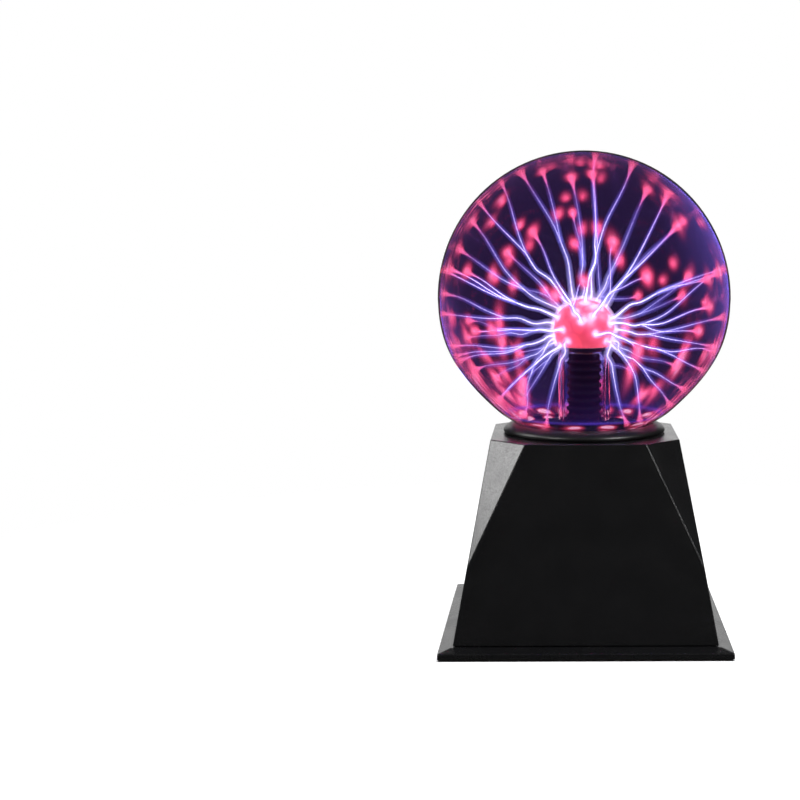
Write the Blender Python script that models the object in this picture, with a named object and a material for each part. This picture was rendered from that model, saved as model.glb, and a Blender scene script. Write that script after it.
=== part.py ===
"""A desk plasma ball: a glass globe on a tapering square base, with the parts inside that make it work.

Metres, +Z up. The origin is under the globe's axis, on the surface the feet stand on. The front faces -Y.
Every piece is its own object. Pieces on the back wall are built in a frame that follows the wall's lean.
"""

import math

import bmesh
import bpy
from mathutils import Matrix, Vector

MM = 0.001
TAU = 2 * math.pi
GAP = 0.3 * MM  # left between pieces that touch

# Base plate, heights from the surface below
FOOT_PROUD = 0.8 * MM
PLATE_HALF = 71.65 * MM
PLATE_BOTTOM = FOOT_PROUD
PLATE_EDGE_TOP = FOOT_PROUD + 2.96 * MM
PLATE_TOP = FOOT_PROUD + 4.54 * MM
PLATE_TOP_HALF = 65.78 * MM
PLATE_RECESS = 1.2 * MM
PLATE_RECESS_HALF = 66.4 * MM

# Tower
TOWER_TOP = FOOT_PROUD + 101.05 * MM
TOWER_FOOT = PLATE_TOP + GAP
TOWER_HALF_FOOT = 64.65 * MM  # at PLATE_TOP
TOWER_HALF_TOP = 47.26 * MM
FACET_APEX = FOOT_PROUD + 41.74 * MM
FACET_LEG = 17.53 * MM  # how much of a top corner the facet cuts off, along each side
TOWER_WALL = 2.5 * MM
EDGE_ROUND = 0.4 * MM
LEAN = math.atan2(TOWER_HALF_FOOT - TOWER_HALF_TOP, TOWER_TOP - PLATE_TOP)

# Globe, stem and electrode
GLOBE_RADIUS = 75.0 * MM
GLOBE_CENTRE = FOOT_PROUD + 170.15 * MM
GLOBE_WALL = 2.0 * MM
NECK_RADIUS = 30.0 * MM
NECK_WALL = 1.8 * MM
NECK_BOTTOM = 70.0 * MM
STEM_RADIUS = 12.8 * MM
STEM_WALL = 1.5 * MM
BALL_RADIUS = 15.6 * MM
BALL_CENTRE = FOOT_PROUD + 154.0 * MM
BALL_WALL = 1.3 * MM
SLEEVE_RADIUS = 9.0 * MM
SLEEVE_GROOVE = 7.9 * MM
SLEEVE_PITCH = 4.0 * MM
ROD_RADIUS = 1.6 * MM

# Collar and the ring that holds the globe
COLLAR_RADIUS = 41.74 * MM
COLLAR_INNER = 33.5 * MM
COLLAR_HEIGHT = 4.6 * MM
COLLAR_PEGS = 4
RETAINER_SCREWS = 3
RETAINER_SCREW_CIRCLE = 38.6 * MM

# Fixings under the plate
SCREW_AT = 50.0 * MM
FOOT_AT = 59.5 * MM
FOOT_RADIUS = 5.2 * MM

# Circuit board
BOARD_HALF_X = 43.0 * MM
BOARD_HALF_Y = 30.0 * MM
BOARD_CENTRE_Y = -8.0 * MM
BOARD_BOTTOM = 10.6 * MM
BOARD_TOP = 12.2 * MM
BOARD_SCREW_X = 38.0 * MM
BOARD_SCREW_Y = 25.0 * MM

# Fittings on the back wall, (x, height)
SWITCH_AT = (17.0 * MM, 27.0 * MM)
JACK_AT = (-19.0 * MM, 27.0 * MM)
MIC_AT = (0.0, 27.0 * MM)

COLOURS = {
    "clear_glass": ((0.78, 0.80, 0.90), 0.03, 0.0),
    "coral": ((0.95, 0.22, 0.24), 0.15, 0.0),
    "black": ((0.014, 0.014, 0.016), 0.28, 0.0),
    "dark": ((0.03, 0.03, 0.033), 0.5, 0.0),
    "rubber": ((0.022, 0.022, 0.024), 0.85, 0.0),
    "steel": ((0.62, 0.62, 0.64), 0.3, 1.0),
    "brass": ((0.78, 0.57, 0.28), 0.3, 1.0),
    "copper": ((0.72, 0.34, 0.18), 0.35, 1.0),
    "aluminium": ((0.8, 0.8, 0.82), 0.35, 1.0),
    "board": ((0.05, 0.26, 0.12), 0.45, 0.0),
    "ferrite": ((0.08, 0.08, 0.085), 0.6, 0.0),
    "white": ((0.75, 0.75, 0.72), 0.4, 0.0),
    "red": ((0.6, 0.04, 0.03), 0.4, 0.0),
    "blue": ((0.05, 0.12, 0.42), 0.35, 0.0),
    "lining": ((0.7, 0.66, 0.62), 0.4, 1.0),
}


def clear_scene():
    for obj in list(bpy.data.objects):
        bpy.data.objects.remove(obj, do_unlink=True)


def material(name, look):
    """A material of its own for one piece."""
    colour, roughness, metallic = COLOURS[look]
    mat = bpy.data.materials.new(name)
    mat.use_nodes = True
    shader = mat.node_tree.nodes["Principled BSDF"]
    shader.inputs["Base Color"].default_value = (*colour, 1.0)
    shader.inputs["Roughness"].default_value = roughness
    shader.inputs["Metallic"].default_value = metallic
    mat.diffuse_color = (*colour, 1.0)
    return mat


def piece(name, bm, look, smooth=True, pivot=None):
    """Turn a bmesh into a named object with its own material. pivot moves the origin there."""
    bmesh.ops.recalc_face_normals(bm, faces=bm.faces)
    if pivot is not None:
        bmesh.ops.translate(bm, vec=-pivot, verts=bm.verts)
    mesh = bpy.data.meshes.new(name)
    bm.to_mesh(mesh)
    bm.free()
    obj = bpy.data.objects.new(name, mesh)
    bpy.context.scene.collection.objects.link(obj)
    if pivot is not None:
        obj.location = pivot
    mesh.materials.append(material(name, look))
    if smooth:
        mesh.shade_smooth()
        mesh.set_sharp_from_angle(angle=math.radians(35))
    return obj


def cutter(name, bm):
    """A hidden object for Boolean modifiers."""
    bmesh.ops.recalc_face_normals(bm, faces=bm.faces)
    mesh = bpy.data.meshes.new(name)
    bm.to_mesh(mesh)
    bm.free()
    obj = bpy.data.objects.new(name, mesh)
    bpy.context.scene.collection.objects.link(obj)
    obj.hide_render = True
    obj.display_type = "WIRE"
    return obj


def boolean(obj, other, operation):
    mod = obj.modifiers.new(operation.lower(), "BOOLEAN")
    mod.operation = operation
    mod.object = other
    mod.solver = "EXACT"


def soften(obj, width):
    """Round off the sharp edges a little, as moulded plastic has them."""
    mod = obj.modifiers.new("soften", "BEVEL")
    mod.width = width
    mod.segments = 2
    mod.limit_method = "ANGLE"
    mod.angle_limit = math.radians(14)


def add_lathe(bm, profile, segments, matrix=None):
    """Revolve a closed loop of (radius, height) about the axis. A radius of 0 becomes a pole."""
    rows = []
    for radius, height in profile:
        if radius < 1e-7:
            rows.append([bm.verts.new((0, 0, height))])
            continue
        ring = []
        for i in range(segments):
            a = TAU * i / segments
            ring.append(bm.verts.new((radius * math.cos(a), radius * math.sin(a), height)))
        rows.append(ring)
    count = len(rows)
    for k in range(count):
        lower, upper = rows[k], rows[(k + 1) % count]
        if len(lower) == 1 and len(upper) == 1:
            continue
        for i in range(segments):
            j = (i + 1) % segments
            if len(lower) == 1:
                bm.faces.new((lower[0], upper[j], upper[i]))
            elif len(upper) == 1:
                bm.faces.new((lower[i], lower[j], upper[0]))
            else:
                bm.faces.new((lower[i], lower[j], upper[j], upper[i]))
    if matrix is not None:
        verts = [v for row in rows for v in row]
        bmesh.ops.transform(bm, matrix=matrix, verts=verts)


def add_rod(bm, radius, low, high, segments, matrix=None):
    """A solid cylinder along Z."""
    add_lathe(bm, [(0, low), (radius, low), (radius, high), (0, high)], segments, matrix)


def add_box(bm, low, high, matrix=None):
    """A box between two corners."""
    verts = []
    for x in (low[0], high[0]):
        for y in (low[1], high[1]):
            for z in (low[2], high[2]):
                verts.append(bm.verts.new((x, y, z)))
    for loop in ((0, 1, 3, 2), (4, 6, 7, 5), (0, 4, 5, 1), (2, 3, 7, 6), (0, 2, 6, 4), (1, 5, 7, 3)):
        bm.faces.new([verts[i] for i in loop])
    if matrix is not None:
        bmesh.ops.transform(bm, matrix=matrix, verts=verts)


def add_prism(bm, outline, low, high, axis="Z", matrix=None):
    """Push a flat outline along an axis. For "X" the outline is (y, z), for "Y" (x, z), for "Z" (x, y)."""
    place = {
        "X": lambda p, h: (h, p[0], p[1]),
        "Y": lambda p, h: (p[0], h, p[1]),
        "Z": lambda p, h: (p[0], p[1], h),
    }[axis]
    bottom = [bm.verts.new(place(p, low)) for p in outline]
    top = [bm.verts.new(place(p, high)) for p in outline]
    bm.faces.new(bottom)
    bm.faces.new(top)
    for i in range(len(outline)):
        j = (i + 1) % len(outline)
        bm.faces.new((bottom[i], bottom[j], top[j], top[i]))
    if matrix is not None:
        bmesh.ops.transform(bm, matrix=matrix, verts=bottom + top)


def smooth_path(points, steps):
    """Catmull-Rom points through the given ones."""
    pts = [Vector(p) for p in points]
    pts = [2 * pts[0] - pts[1]] + pts + [2 * pts[-1] - pts[-2]]
    out = []
    for k in range(1, len(pts) - 2):
        a, b, c, d = pts[k - 1], pts[k], pts[k + 1], pts[k + 2]
        for s in range(steps):
            t = s / steps
            out.append(
                0.5 * (2 * b + (c - a) * t + (2 * a - 5 * b + 4 * c - d) * t**2
                       + (3 * b - a - 3 * c + d) * t**3)
            )
    out.append(pts[-2])
    return out


def add_tube(bm, path, radius, sides):
    """A solid wire along a path."""
    rows = []
    tangent = (path[1] - path[0]).normalized()
    side = tangent.orthogonal().normalized()
    for k, point in enumerate(path):
        ahead = path[min(k + 1, len(path) - 1)]
        behind = path[max(k - 1, 0)]
        tangent = (ahead - behind).normalized()
        side = (side - side.dot(tangent) * tangent).normalized()
        other = tangent.cross(side)
        ring = []
        for i in range(sides):
            a = TAU * i / sides
            ring.append(bm.verts.new(point + radius * (math.cos(a) * side + math.sin(a) * other)))
        rows.append(ring)
    for k in range(len(rows) - 1):
        for i in range(sides):
            j = (i + 1) % sides
            bm.faces.new((rows[k][i], rows[k][j], rows[k + 1][j], rows[k + 1][i]))
    bm.faces.new(rows[0])
    bm.faces.new(rows[-1])


def coil_path(radius, low, high, turns, per_turn, matrix=None):
    path = []
    count = int(turns * per_turn)
    for i in range(count + 1):
        a = TAU * i / per_turn
        point = Vector((radius * math.cos(a), radius * math.sin(a), low + (high - low) * i / count))
        path.append(matrix @ point if matrix is not None else point)
    return path


def tower_half(z):
    """Half the tower's outer width at a height."""
    return TOWER_HALF_FOOT - (z - PLATE_TOP) * math.tan(LEAN)


def wall_frame(place):
    """Axes on the back wall: X along it, Y down it, Z straight out of it. place is (x, height)."""
    x, z = place
    normal = Vector((0, math.cos(LEAN), math.sin(LEAN)))
    across = Vector((1, 0, 0))
    down = normal.cross(across)
    frame = Matrix((across, down, normal)).transposed().to_4x4()
    frame.translation = Vector((x, tower_half(z), z))
    return frame


def arc(centre, radius, start, stop, steps, squash=1.0):
    """(radius, height) points on a circle about centre, angles in degrees from the equator."""
    out = []
    for i in range(steps + 1):
        a = math.radians(start + (stop - start) * i / steps)
        out.append((radius * math.cos(a), centre + squash * radius * math.sin(a)))
    return out


def clean_axis(points):
    return [(0.0 if r < 1e-6 else r, z) for r, z in points]


# Globe, stem and electrode


def globe_lower():
    """The outer outline from the equator down to the neck's rim: fuller at the waist, then drawn in."""
    c = GLOBE_CENTRE
    shape = [
        (74.3, -10.0), (72.2, -20.0), (68.6, -29.0), (63.4, -37.5), (57.0, -45.5), (49.8, -53.0),
        (43.6, -58.6), (38.4, -62.2), (34.6, -64.4), (32.4, -66.2), (31.0, -68.4), (30.3, -71.0),
    ]
    points = [(r * MM, c + h * MM) for r, h in shape]
    return points + [(NECK_RADIUS, c - 74.5 * MM), (NECK_RADIUS, NECK_BOTTOM)]


def offset_inward(points, distance):
    """Move an open outline sideways, towards the axis side."""
    out = []
    for k, (r, z) in enumerate(points):
        r0, z0 = points[max(k - 1, 0)]
        r1, z1 = points[min(k + 1, len(points) - 1)]
        dr, dz = r1 - r0, z1 - z0
        size = math.hypot(dr, dz)
        out.append((r + distance * dz / size, z - distance * dr / size))
    return out


def glass_globe():
    outer = list(reversed(arc(GLOBE_CENTRE, GLOBE_RADIUS, 0, 90, 12))) + globe_lower()
    inner = offset_inward(outer, GLOBE_WALL)
    inner[0] = (0.0, GLOBE_CENTRE + GLOBE_RADIUS - GLOBE_WALL)
    inner[-2] = (NECK_RADIUS - NECK_WALL, inner[-2][1])
    inner[-1] = (NECK_RADIUS - NECK_WALL, NECK_BOTTOM)
    bm = bmesh.new()
    add_lathe(bm, clean_axis(outer + list(reversed(inner))), 56)
    piece("glass_globe", bm, "clear_glass")


def stem_outline():
    """The flared tube's outer side, from the flare's rim to the top under the ball."""
    rim = NECK_RADIUS - NECK_WALL - GAP
    top = BALL_CENTRE - math.sqrt(BALL_RADIUS**2 - STEM_RADIUS**2) - GAP
    return [
        (rim, NECK_BOTTOM), (rim, NECK_BOTTOM + 1.6 * MM), (24.5 * MM, 74.6 * MM), (20.0 * MM, 78.4 * MM),
        (16.4 * MM, 83.4 * MM), (14.2 * MM, 89.0 * MM), (13.1 * MM, 95.0 * MM), (STEM_RADIUS, 101.0 * MM),
        (STEM_RADIUS, 123.0 * MM), (STEM_RADIUS, top),
    ]


def stem_tube():
    outer = stem_outline()
    inner = [(r - STEM_WALL, z) for r, z in outer]
    inner[0] = (outer[0][0] - 2.4 * MM, NECK_BOTTOM)
    inner[1] = (outer[0][0] - 3.2 * MM, NECK_BOTTOM + 0.6 * MM)
    inner[2] = (outer[2][0] - 2.0 * MM, outer[2][1] - 0.9 * MM)
    inner[3] = (outer[3][0] - 1.8 * MM, outer[3][1] - 0.5 * MM)
    bm = bmesh.new()
    add_lathe(bm, outer + list(reversed(inner)), 28)
    piece("stem_tube", bm, "clear_glass")


def ball_shell(outer_radius, thickness, opening, steps):
    """Closed outline of a hollow ball with a round opening at the bottom."""
    inner_radius = outer_radius - thickness
    outer_start = -math.degrees(math.acos(opening / outer_radius))
    inner_start = -math.degrees(math.acos((opening - thickness) / inner_radius))
    outer = arc(BALL_CENTRE, outer_radius, outer_start, 90, steps)
    inner = arc(BALL_CENTRE, inner_radius, inner_start, 90, steps)
    return clean_axis(outer + list(reversed(inner)))


def electrode_bulb():
    bm = bmesh.new()
    add_lathe(bm, ball_shell(BALL_RADIUS, BALL_WALL, STEM_RADIUS, 9), 28)
    piece("electrode_bulb", bm, "coral")


def electrode_coating():
    bm = bmesh.new()
    add_lathe(bm, ball_shell(BALL_RADIUS - BALL_WALL - GAP, 0.5 * MM, 8.6 * MM, 6), 14)
    piece("electrode_coating", bm, "lining")


def sleeve_top():
    return BALL_CENTRE - 12.0 * MM


def insulating_sleeve():
    """Black ridged sleeve. The ridges repeat up its outside."""
    bottom = 78.0 * MM
    outline = [(ROD_RADIUS + GAP, bottom), (SLEEVE_GROOVE, bottom)]
    z = bottom + 2 * MM
    while z + SLEEVE_PITCH < sleeve_top():
        outline.append((SLEEVE_GROOVE, z))
        outline.append((SLEEVE_RADIUS, z + 0.3 * SLEEVE_PITCH))
        outline.append((SLEEVE_RADIUS, z + 0.7 * SLEEVE_PITCH))
        z += SLEEVE_PITCH
    outline.append((SLEEVE_GROOVE, sleeve_top()))
    outline.append((ROD_RADIUS + GAP, sleeve_top()))
    bm = bmesh.new()
    add_lathe(bm, outline, 16)
    piece("insulating_sleeve", bm, "dark")


def contact_rod():
    head = sleeve_top() + GAP
    profile = [
        (0, 66.0 * MM), (ROD_RADIUS, 66.0 * MM), (ROD_RADIUS, head), (4.6 * MM, head),
        (4.6 * MM, head + 1.2 * MM), (0, head + 1.2 * MM),
    ]
    bm = bmesh.new()
    add_lathe(bm, profile, 12)
    piece("contact_rod", bm, "brass")


def contact_spring():
    wire = 0.45 * MM
    low = sleeve_top() + GAP + 1.2 * MM + GAP + wire
    high = BALL_CENTRE + BALL_RADIUS - BALL_WALL - GAP - 0.5 * MM - 1.1 * MM - wire
    bm = bmesh.new()
    add_tube(bm, coil_path(3.4 * MM, low, high, 5, 8), wire, 5)
    piece("contact_spring", bm, "steel")


def stem_bung():
    outer = STEM_RADIUS - STEM_WALL - GAP
    inner = SLEEVE_RADIUS + GAP
    profile = [(inner, 101.5 * MM), (outer, 101.5 * MM), (outer, 105.5 * MM), (inner, 105.5 * MM)]
    bm = bmesh.new()
    add_lathe(bm, profile, 20)
    piece("stem_bung", bm, "rubber")


# Collar, gasket and retainer


def ring_spots(count, circle, turn):
    """Places spread evenly round the axis."""
    out = []
    for i in range(count):
        a = TAU * i / count + turn
        out.append((circle * math.cos(a), circle * math.sin(a)))
    return out


PEG_SPOTS = ring_spots(COLLAR_PEGS, 37.6 * MM, TAU / 8)
RETAINER_SPOTS = ring_spots(RETAINER_SCREWS, RETAINER_SCREW_CIRCLE, TAU / 4)


def collar_ring():
    """Rounded ring on the tower's top, with pegs below that locate it."""
    low = TOWER_TOP + GAP
    high = low + COLLAR_HEIGHT
    profile = [
        (COLLAR_INNER, low), (COLLAR_RADIUS - 0.5 * MM, low), (COLLAR_RADIUS, low + 0.7 * MM),
        (COLLAR_RADIUS, low + 1.5 * MM), (COLLAR_RADIUS - 0.6 * MM, low + 2.5 * MM),
        (COLLAR_RADIUS - 1.8 * MM, low + 3.5 * MM), (COLLAR_RADIUS - 3.4 * MM, low + 4.2 * MM),
        (COLLAR_RADIUS - 5.2 * MM, high), (COLLAR_INNER + 2.2 * MM, high),
        (COLLAR_INNER + 1.1 * MM, high - 0.5 * MM), (COLLAR_INNER + 0.1 * MM, high - 1.7 * MM),
    ]
    bm = bmesh.new()
    add_lathe(bm, profile, 56)
    ring = piece("collar_ring", bm, "black")
    pegs = bmesh.new()
    for x, y in PEG_SPOTS:
        add_rod(pegs, 1.2 * MM, low - 2.4 * MM, low + 1.2 * MM, 8, Matrix.Translation((x, y, 0)))
    boolean(ring, cutter("collar_pegs", pegs), "UNION")


def globe_gasket():
    top = TOWER_TOP - TOWER_WALL - GAP
    inner = NECK_RADIUS + 2 * GAP
    profile = [
        (inner, top - 2.0 * MM), (35.0 * MM, top - 2.0 * MM), (35.0 * MM, top), (32.4 * MM, top),
        (32.4 * MM, TOWER_TOP - 1.0 * MM), (inner + 1.0 * MM, TOWER_TOP - 1.0 * MM), (inner, top - 0.6 * MM),
    ]
    bm = bmesh.new()
    add_lathe(bm, profile, 24)
    piece("globe_gasket", bm, "rubber")


def retainer_ring():
    top = TOWER_TOP - TOWER_WALL - 2 * GAP - 2.0 * MM
    low = top - 3.2 * MM
    bm = bmesh.new()
    add_lathe(bm, [(30.6 * MM, low), (42.4 * MM, low), (42.4 * MM, top), (30.6 * MM, top)], 24)
    ring = piece("retainer_ring", bm, "dark")
    holes = bmesh.new()
    for x, y in RETAINER_SPOTS:
        add_rod(holes, 1.8 * MM, low - MM, top + MM, 10, Matrix.Translation((x, y, 0)))
    boolean(ring, cutter("retainer_holes", holes), "DIFFERENCE")


def screw_profile(head_radius, head_height, shank_radius, length):
    """A pan head screw that points up, its seat at height 0, with a recess in the head."""
    return [
        (0, -0.4 * head_height), (0.35 * head_radius, -0.4 * head_height), (0.45 * head_radius, -head_height),
        (0.8 * head_radius, -head_height), (head_radius, -0.7 * head_height), (head_radius, 0),
        (shank_radius, 0), (shank_radius, length - shank_radius), (0, length),
    ]


def add_screw(bm, place, seat, size, flip=False):
    """size is (head radius, head height, shank radius, length). flip points the screw down."""
    matrix = Matrix.Translation((place[0], place[1], seat))
    if flip:
        matrix = matrix @ Matrix.Rotation(math.pi, 4, "X")
    add_lathe(bm, screw_profile(*size), 8, matrix)


def retainer_screws():
    seat = TOWER_TOP - TOWER_WALL - 2 * GAP - 5.2 * MM - GAP
    for i, spot in enumerate(RETAINER_SPOTS):
        bm = bmesh.new()
        add_screw(bm, spot, seat, (2.8 * MM, 1.8 * MM, 1.3 * MM, 7.2 * MM))
        piece(f"retainer_screw_{i + 1}", bm, "steel")


# Tower and base plate


def tower_solid(inset, leg_inset, apex_rise, low, high):
    """The tower's faceted body, drawn in by inset. Corner facets start at the apex and widen upwards."""
    apex = FACET_APEX + apex_rise
    half_low = tower_half(low) - inset
    half_apex = tower_half(apex) - inset
    half_high = tower_half(high) - inset
    leg = FACET_LEG * (high - FACET_APEX) / (TOWER_TOP - FACET_APEX) - leg_inset
    bm = bmesh.new()
    foot, mid, top = [], [], []
    for sx, sy in ((1, 1), (-1, 1), (-1, -1), (1, -1)):
        foot.append(bm.verts.new((sx * half_low, sy * half_low, low)))
        mid.append(bm.verts.new((sx * half_apex, sy * half_apex, apex)))
        along_y = bm.verts.new((sx * half_high, sy * (half_high - leg), high))
        along_x = bm.verts.new((sx * (half_high - leg), sy * half_high, high))
        top.append((along_y, along_x) if sx * sy > 0 else (along_x, along_y))
    for i in range(4):
        j = (i + 1) % 4
        bm.faces.new((foot[i], foot[j], mid[j], top[j][0], top[i][1], mid[i]))
        bm.faces.new((mid[i], top[i][0], top[i][1]))
    bm.faces.new(foot)
    bm.faces.new([v for pair in top for v in pair])
    return bm


def corner_signs():
    return ((1, 1), (-1, 1), (-1, -1), (1, -1))


def tower_hollow():
    """The space inside the tower, with screw posts and bosses left standing in it."""
    bm = tower_solid(2.55 * MM, 1.5 * MM, 5.07 * MM, TOWER_FOOT - 2 * MM, TOWER_TOP - TOWER_WALL)
    hollow = cutter("tower_hollow", bm)
    posts = bmesh.new()
    for sx, sy in corner_signs():
        add_rod(posts, 4.6 * MM, TOWER_FOOT - 4 * MM, 38.0 * MM, 12,
                Matrix.Translation((sx * SCREW_AT, sy * SCREW_AT, 0)))
    for x, y in RETAINER_SPOTS:
        add_rod(posts, 3.2 * MM, TOWER_TOP - TOWER_WALL - 2.2 * MM, TOWER_TOP, 12,
                Matrix.Translation((x, y, 0)))
    webs = bmesh.new()
    for sx, sy in corner_signs():
        turn = Matrix.Translation((sx * SCREW_AT, sy * SCREW_AT, 0)) @ Matrix.Rotation(
            math.atan2(sy, sx), 4, "Z")
        add_box(webs, (0, -1.2 * MM, TOWER_FOOT - 5 * MM), (22 * MM, 1.2 * MM, 36.0 * MM), turn)
    boolean(hollow, cutter("tower_posts", posts), "DIFFERENCE")
    boolean(hollow, cutter("tower_webs", webs), "DIFFERENCE")
    return hollow


def tower_shell():
    bm = tower_solid(0, 0, 0, TOWER_FOOT, TOWER_TOP)
    tower = piece("tower_shell", bm, "black", smooth=False)
    soften(tower, EDGE_ROUND)
    boolean(tower, tower_hollow(), "DIFFERENCE")
    holes = bmesh.new()
    add_rod(holes, 32.8 * MM, TOWER_TOP - 5 * MM, TOWER_TOP + 5 * MM, 48)
    for x, y in PEG_SPOTS:
        add_rod(holes, 1.6 * MM, TOWER_TOP - 5 * MM, TOWER_TOP + 5 * MM, 8, Matrix.Translation((x, y, 0)))
    for x, y in RETAINER_SPOTS:
        add_rod(holes, 1.6 * MM, TOWER_TOP - 8 * MM, TOWER_TOP - 1.4 * MM, 8, Matrix.Translation((x, y, 0)))
    for sx, sy in corner_signs():
        add_rod(holes, 1.8 * MM, TOWER_FOOT - 3 * MM, 20.0 * MM, 10,
                Matrix.Translation((sx * SCREW_AT, sy * SCREW_AT, 0)))
    add_rod(holes, 5.9 * MM, -6 * MM, 4 * MM, 20, wall_frame(JACK_AT))
    add_rod(holes, 1.0 * MM, -6 * MM, 4 * MM, 10, wall_frame(MIC_AT))
    add_box(holes, (-6.7 * MM, -9.8 * MM, -6 * MM), (6.7 * MM, 9.8 * MM, 4 * MM), wall_frame(SWITCH_AT))
    boolean(tower, cutter("tower_holes", holes), "DIFFERENCE")


def base_plate():
    """Flange plate with a bevelled top, locating lips, board posts and slots for air."""
    bm = bmesh.new()
    rings = [(PLATE_HALF, PLATE_BOTTOM), (PLATE_HALF, PLATE_EDGE_TOP), (PLATE_TOP_HALF, PLATE_TOP)]
    rows = []
    for half, z in rings:
        rows.append([bm.verts.new((sx * half, sy * half, z)) for sx, sy in corner_signs()])
    for lower, upper in zip(rows, rows[1:]):
        for i in range(4):
            j = (i + 1) % 4
            bm.faces.new((lower[i], lower[j], upper[j], upper[i]))
    bm.faces.new(rows[0])
    bm.faces.new(rows[-1])
    plate = piece("base_plate", bm, "black", smooth=False)
    soften(plate, EDGE_ROUND)
    extras = bmesh.new()
    for i in range(4):
        turn = Matrix.Rotation(i * TAU / 4, 4, "Z")
        rib_low = (-38 * MM, 58.4 * MM, PLATE_TOP - MM)
        rib_high = (38 * MM, 60.4 * MM, PLATE_TOP + 3.2 * MM)
        add_box(extras, rib_low, rib_high, turn)
    for sx, sy in corner_signs():
        spot = (sx * BOARD_SCREW_X, BOARD_CENTRE_Y + sy * BOARD_SCREW_Y, 0)
        add_rod(extras, 3.2 * MM, PLATE_TOP - MM, BOARD_BOTTOM - GAP, 12, Matrix.Translation(spot))
    boolean(plate, cutter("plate_extras", extras), "UNION")
    recess = bmesh.new()
    half = PLATE_RECESS_HALF
    add_box(recess, (-half, -half, PLATE_BOTTOM - 2 * MM), (half, half, PLATE_BOTTOM + PLATE_RECESS))
    boolean(plate, cutter("plate_recess", recess), "DIFFERENCE")
    holes = bmesh.new()
    for sx, sy in corner_signs():
        add_rod(holes, 1.9 * MM, PLATE_BOTTOM - MM, PLATE_TOP + MM, 10,
                Matrix.Translation((sx * SCREW_AT, sy * SCREW_AT, 0)))
        spot = (sx * BOARD_SCREW_X, BOARD_CENTRE_Y + sy * BOARD_SCREW_Y, 0)
        add_rod(holes, 1.2 * MM, PLATE_TOP - 0.6 * MM, BOARD_BOTTOM + MM, 8, Matrix.Translation(spot))
    for i in range(6):
        x = (i - 2.5) * 7 * MM
        add_box(holes, (x - 1.2 * MM, 30 * MM, 0), (x + 1.2 * MM, 46 * MM, PLATE_TOP + MM))
    boolean(plate, cutter("plate_holes", holes), "DIFFERENCE")


def rubber_feet():
    top = PLATE_BOTTOM + PLATE_RECESS - GAP
    for i, (sx, sy) in enumerate(corner_signs()):
        profile = [
            (0, 0), (FOOT_RADIUS - 0.5 * MM, 0), (FOOT_RADIUS, 0.4 * MM), (FOOT_RADIUS, top), (0, top),
        ]
        bm = bmesh.new()
        add_lathe(bm, profile, 16, Matrix.Translation((sx * FOOT_AT, sy * FOOT_AT, 0)))
        piece(f"rubber_foot_{i + 1}", bm, "rubber")


def case_screws():
    seat = PLATE_BOTTOM + PLATE_RECESS - GAP
    for i, (sx, sy) in enumerate(corner_signs()):
        bm = bmesh.new()
        add_screw(bm, (sx * SCREW_AT, sy * SCREW_AT), seat, (3.0 * MM, 1.3 * MM, 1.5 * MM, 14 * MM))
        piece(f"case_screw_{i + 1}", bm, "steel")


# Electronics


def circuit_board():
    bm = bmesh.new()
    low = (-BOARD_HALF_X, BOARD_CENTRE_Y - BOARD_HALF_Y, BOARD_BOTTOM)
    high = (BOARD_HALF_X, BOARD_CENTRE_Y + BOARD_HALF_Y, BOARD_TOP)
    add_box(bm, low, high)
    board = piece("circuit_board", bm, "board", smooth=False)
    holes = bmesh.new()
    for sx, sy in corner_signs():
        spot = (sx * BOARD_SCREW_X, BOARD_CENTRE_Y + sy * BOARD_SCREW_Y, 0)
        add_rod(holes, 1.6 * MM, BOARD_BOTTOM - MM, BOARD_TOP + MM, 8, Matrix.Translation(spot))
    boolean(board, cutter("board_holes", holes), "DIFFERENCE")


def board_screws():
    for i, (sx, sy) in enumerate(corner_signs()):
        spot = (sx * BOARD_SCREW_X, BOARD_CENTRE_Y + sy * BOARD_SCREW_Y)
        bm = bmesh.new()
        add_screw(bm, spot, BOARD_TOP + GAP, (2.6 * MM, 1.5 * MM, 0.9 * MM, 6.5 * MM), flip=True)
        piece(f"board_screw_{i + 1}", bm, "steel")


# Transformer, set out round its two legs
CORE_Y = -10.0 * MM
CORE_HALF_Y = 5.0 * MM
CORE_LEFT = -34.0 * MM
CORE_RIGHT = 4.0 * MM
CORE_LEG = 9.0 * MM
CORE_LOW = BOARD_TOP + GAP
CORE_YOKE = 7.0 * MM
CORE_WINDOW = 22.0 * MM
CORE_SPLIT = CORE_LOW + CORE_YOKE + CORE_WINDOW / 2
CORE_HIGH = CORE_LOW + 2 * CORE_YOKE + CORE_WINDOW
HV_LEG_X = CORE_RIGHT - CORE_LEG / 2
LV_LEG_X = CORE_LEFT + CORE_LEG / 2


def core_half(name, yoke_edge, split):
    """One U of the ferrite core. yoke_edge is the flat end and split is where the legs meet."""
    way = 1 if split > yoke_edge else -1
    yoke = yoke_edge + way * CORE_YOKE
    outline = [
        (CORE_LEFT, yoke_edge), (CORE_RIGHT, yoke_edge), (CORE_RIGHT, split), (CORE_RIGHT - CORE_LEG, split),
        (CORE_RIGHT - CORE_LEG, yoke), (CORE_LEFT + CORE_LEG, yoke), (CORE_LEFT + CORE_LEG, split),
        (CORE_LEFT, split),
    ]
    bm = bmesh.new()
    add_prism(bm, outline, CORE_Y - CORE_HALF_Y, CORE_Y + CORE_HALF_Y, axis="Y")
    piece(name, bm, "ferrite", smooth=False)


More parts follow.
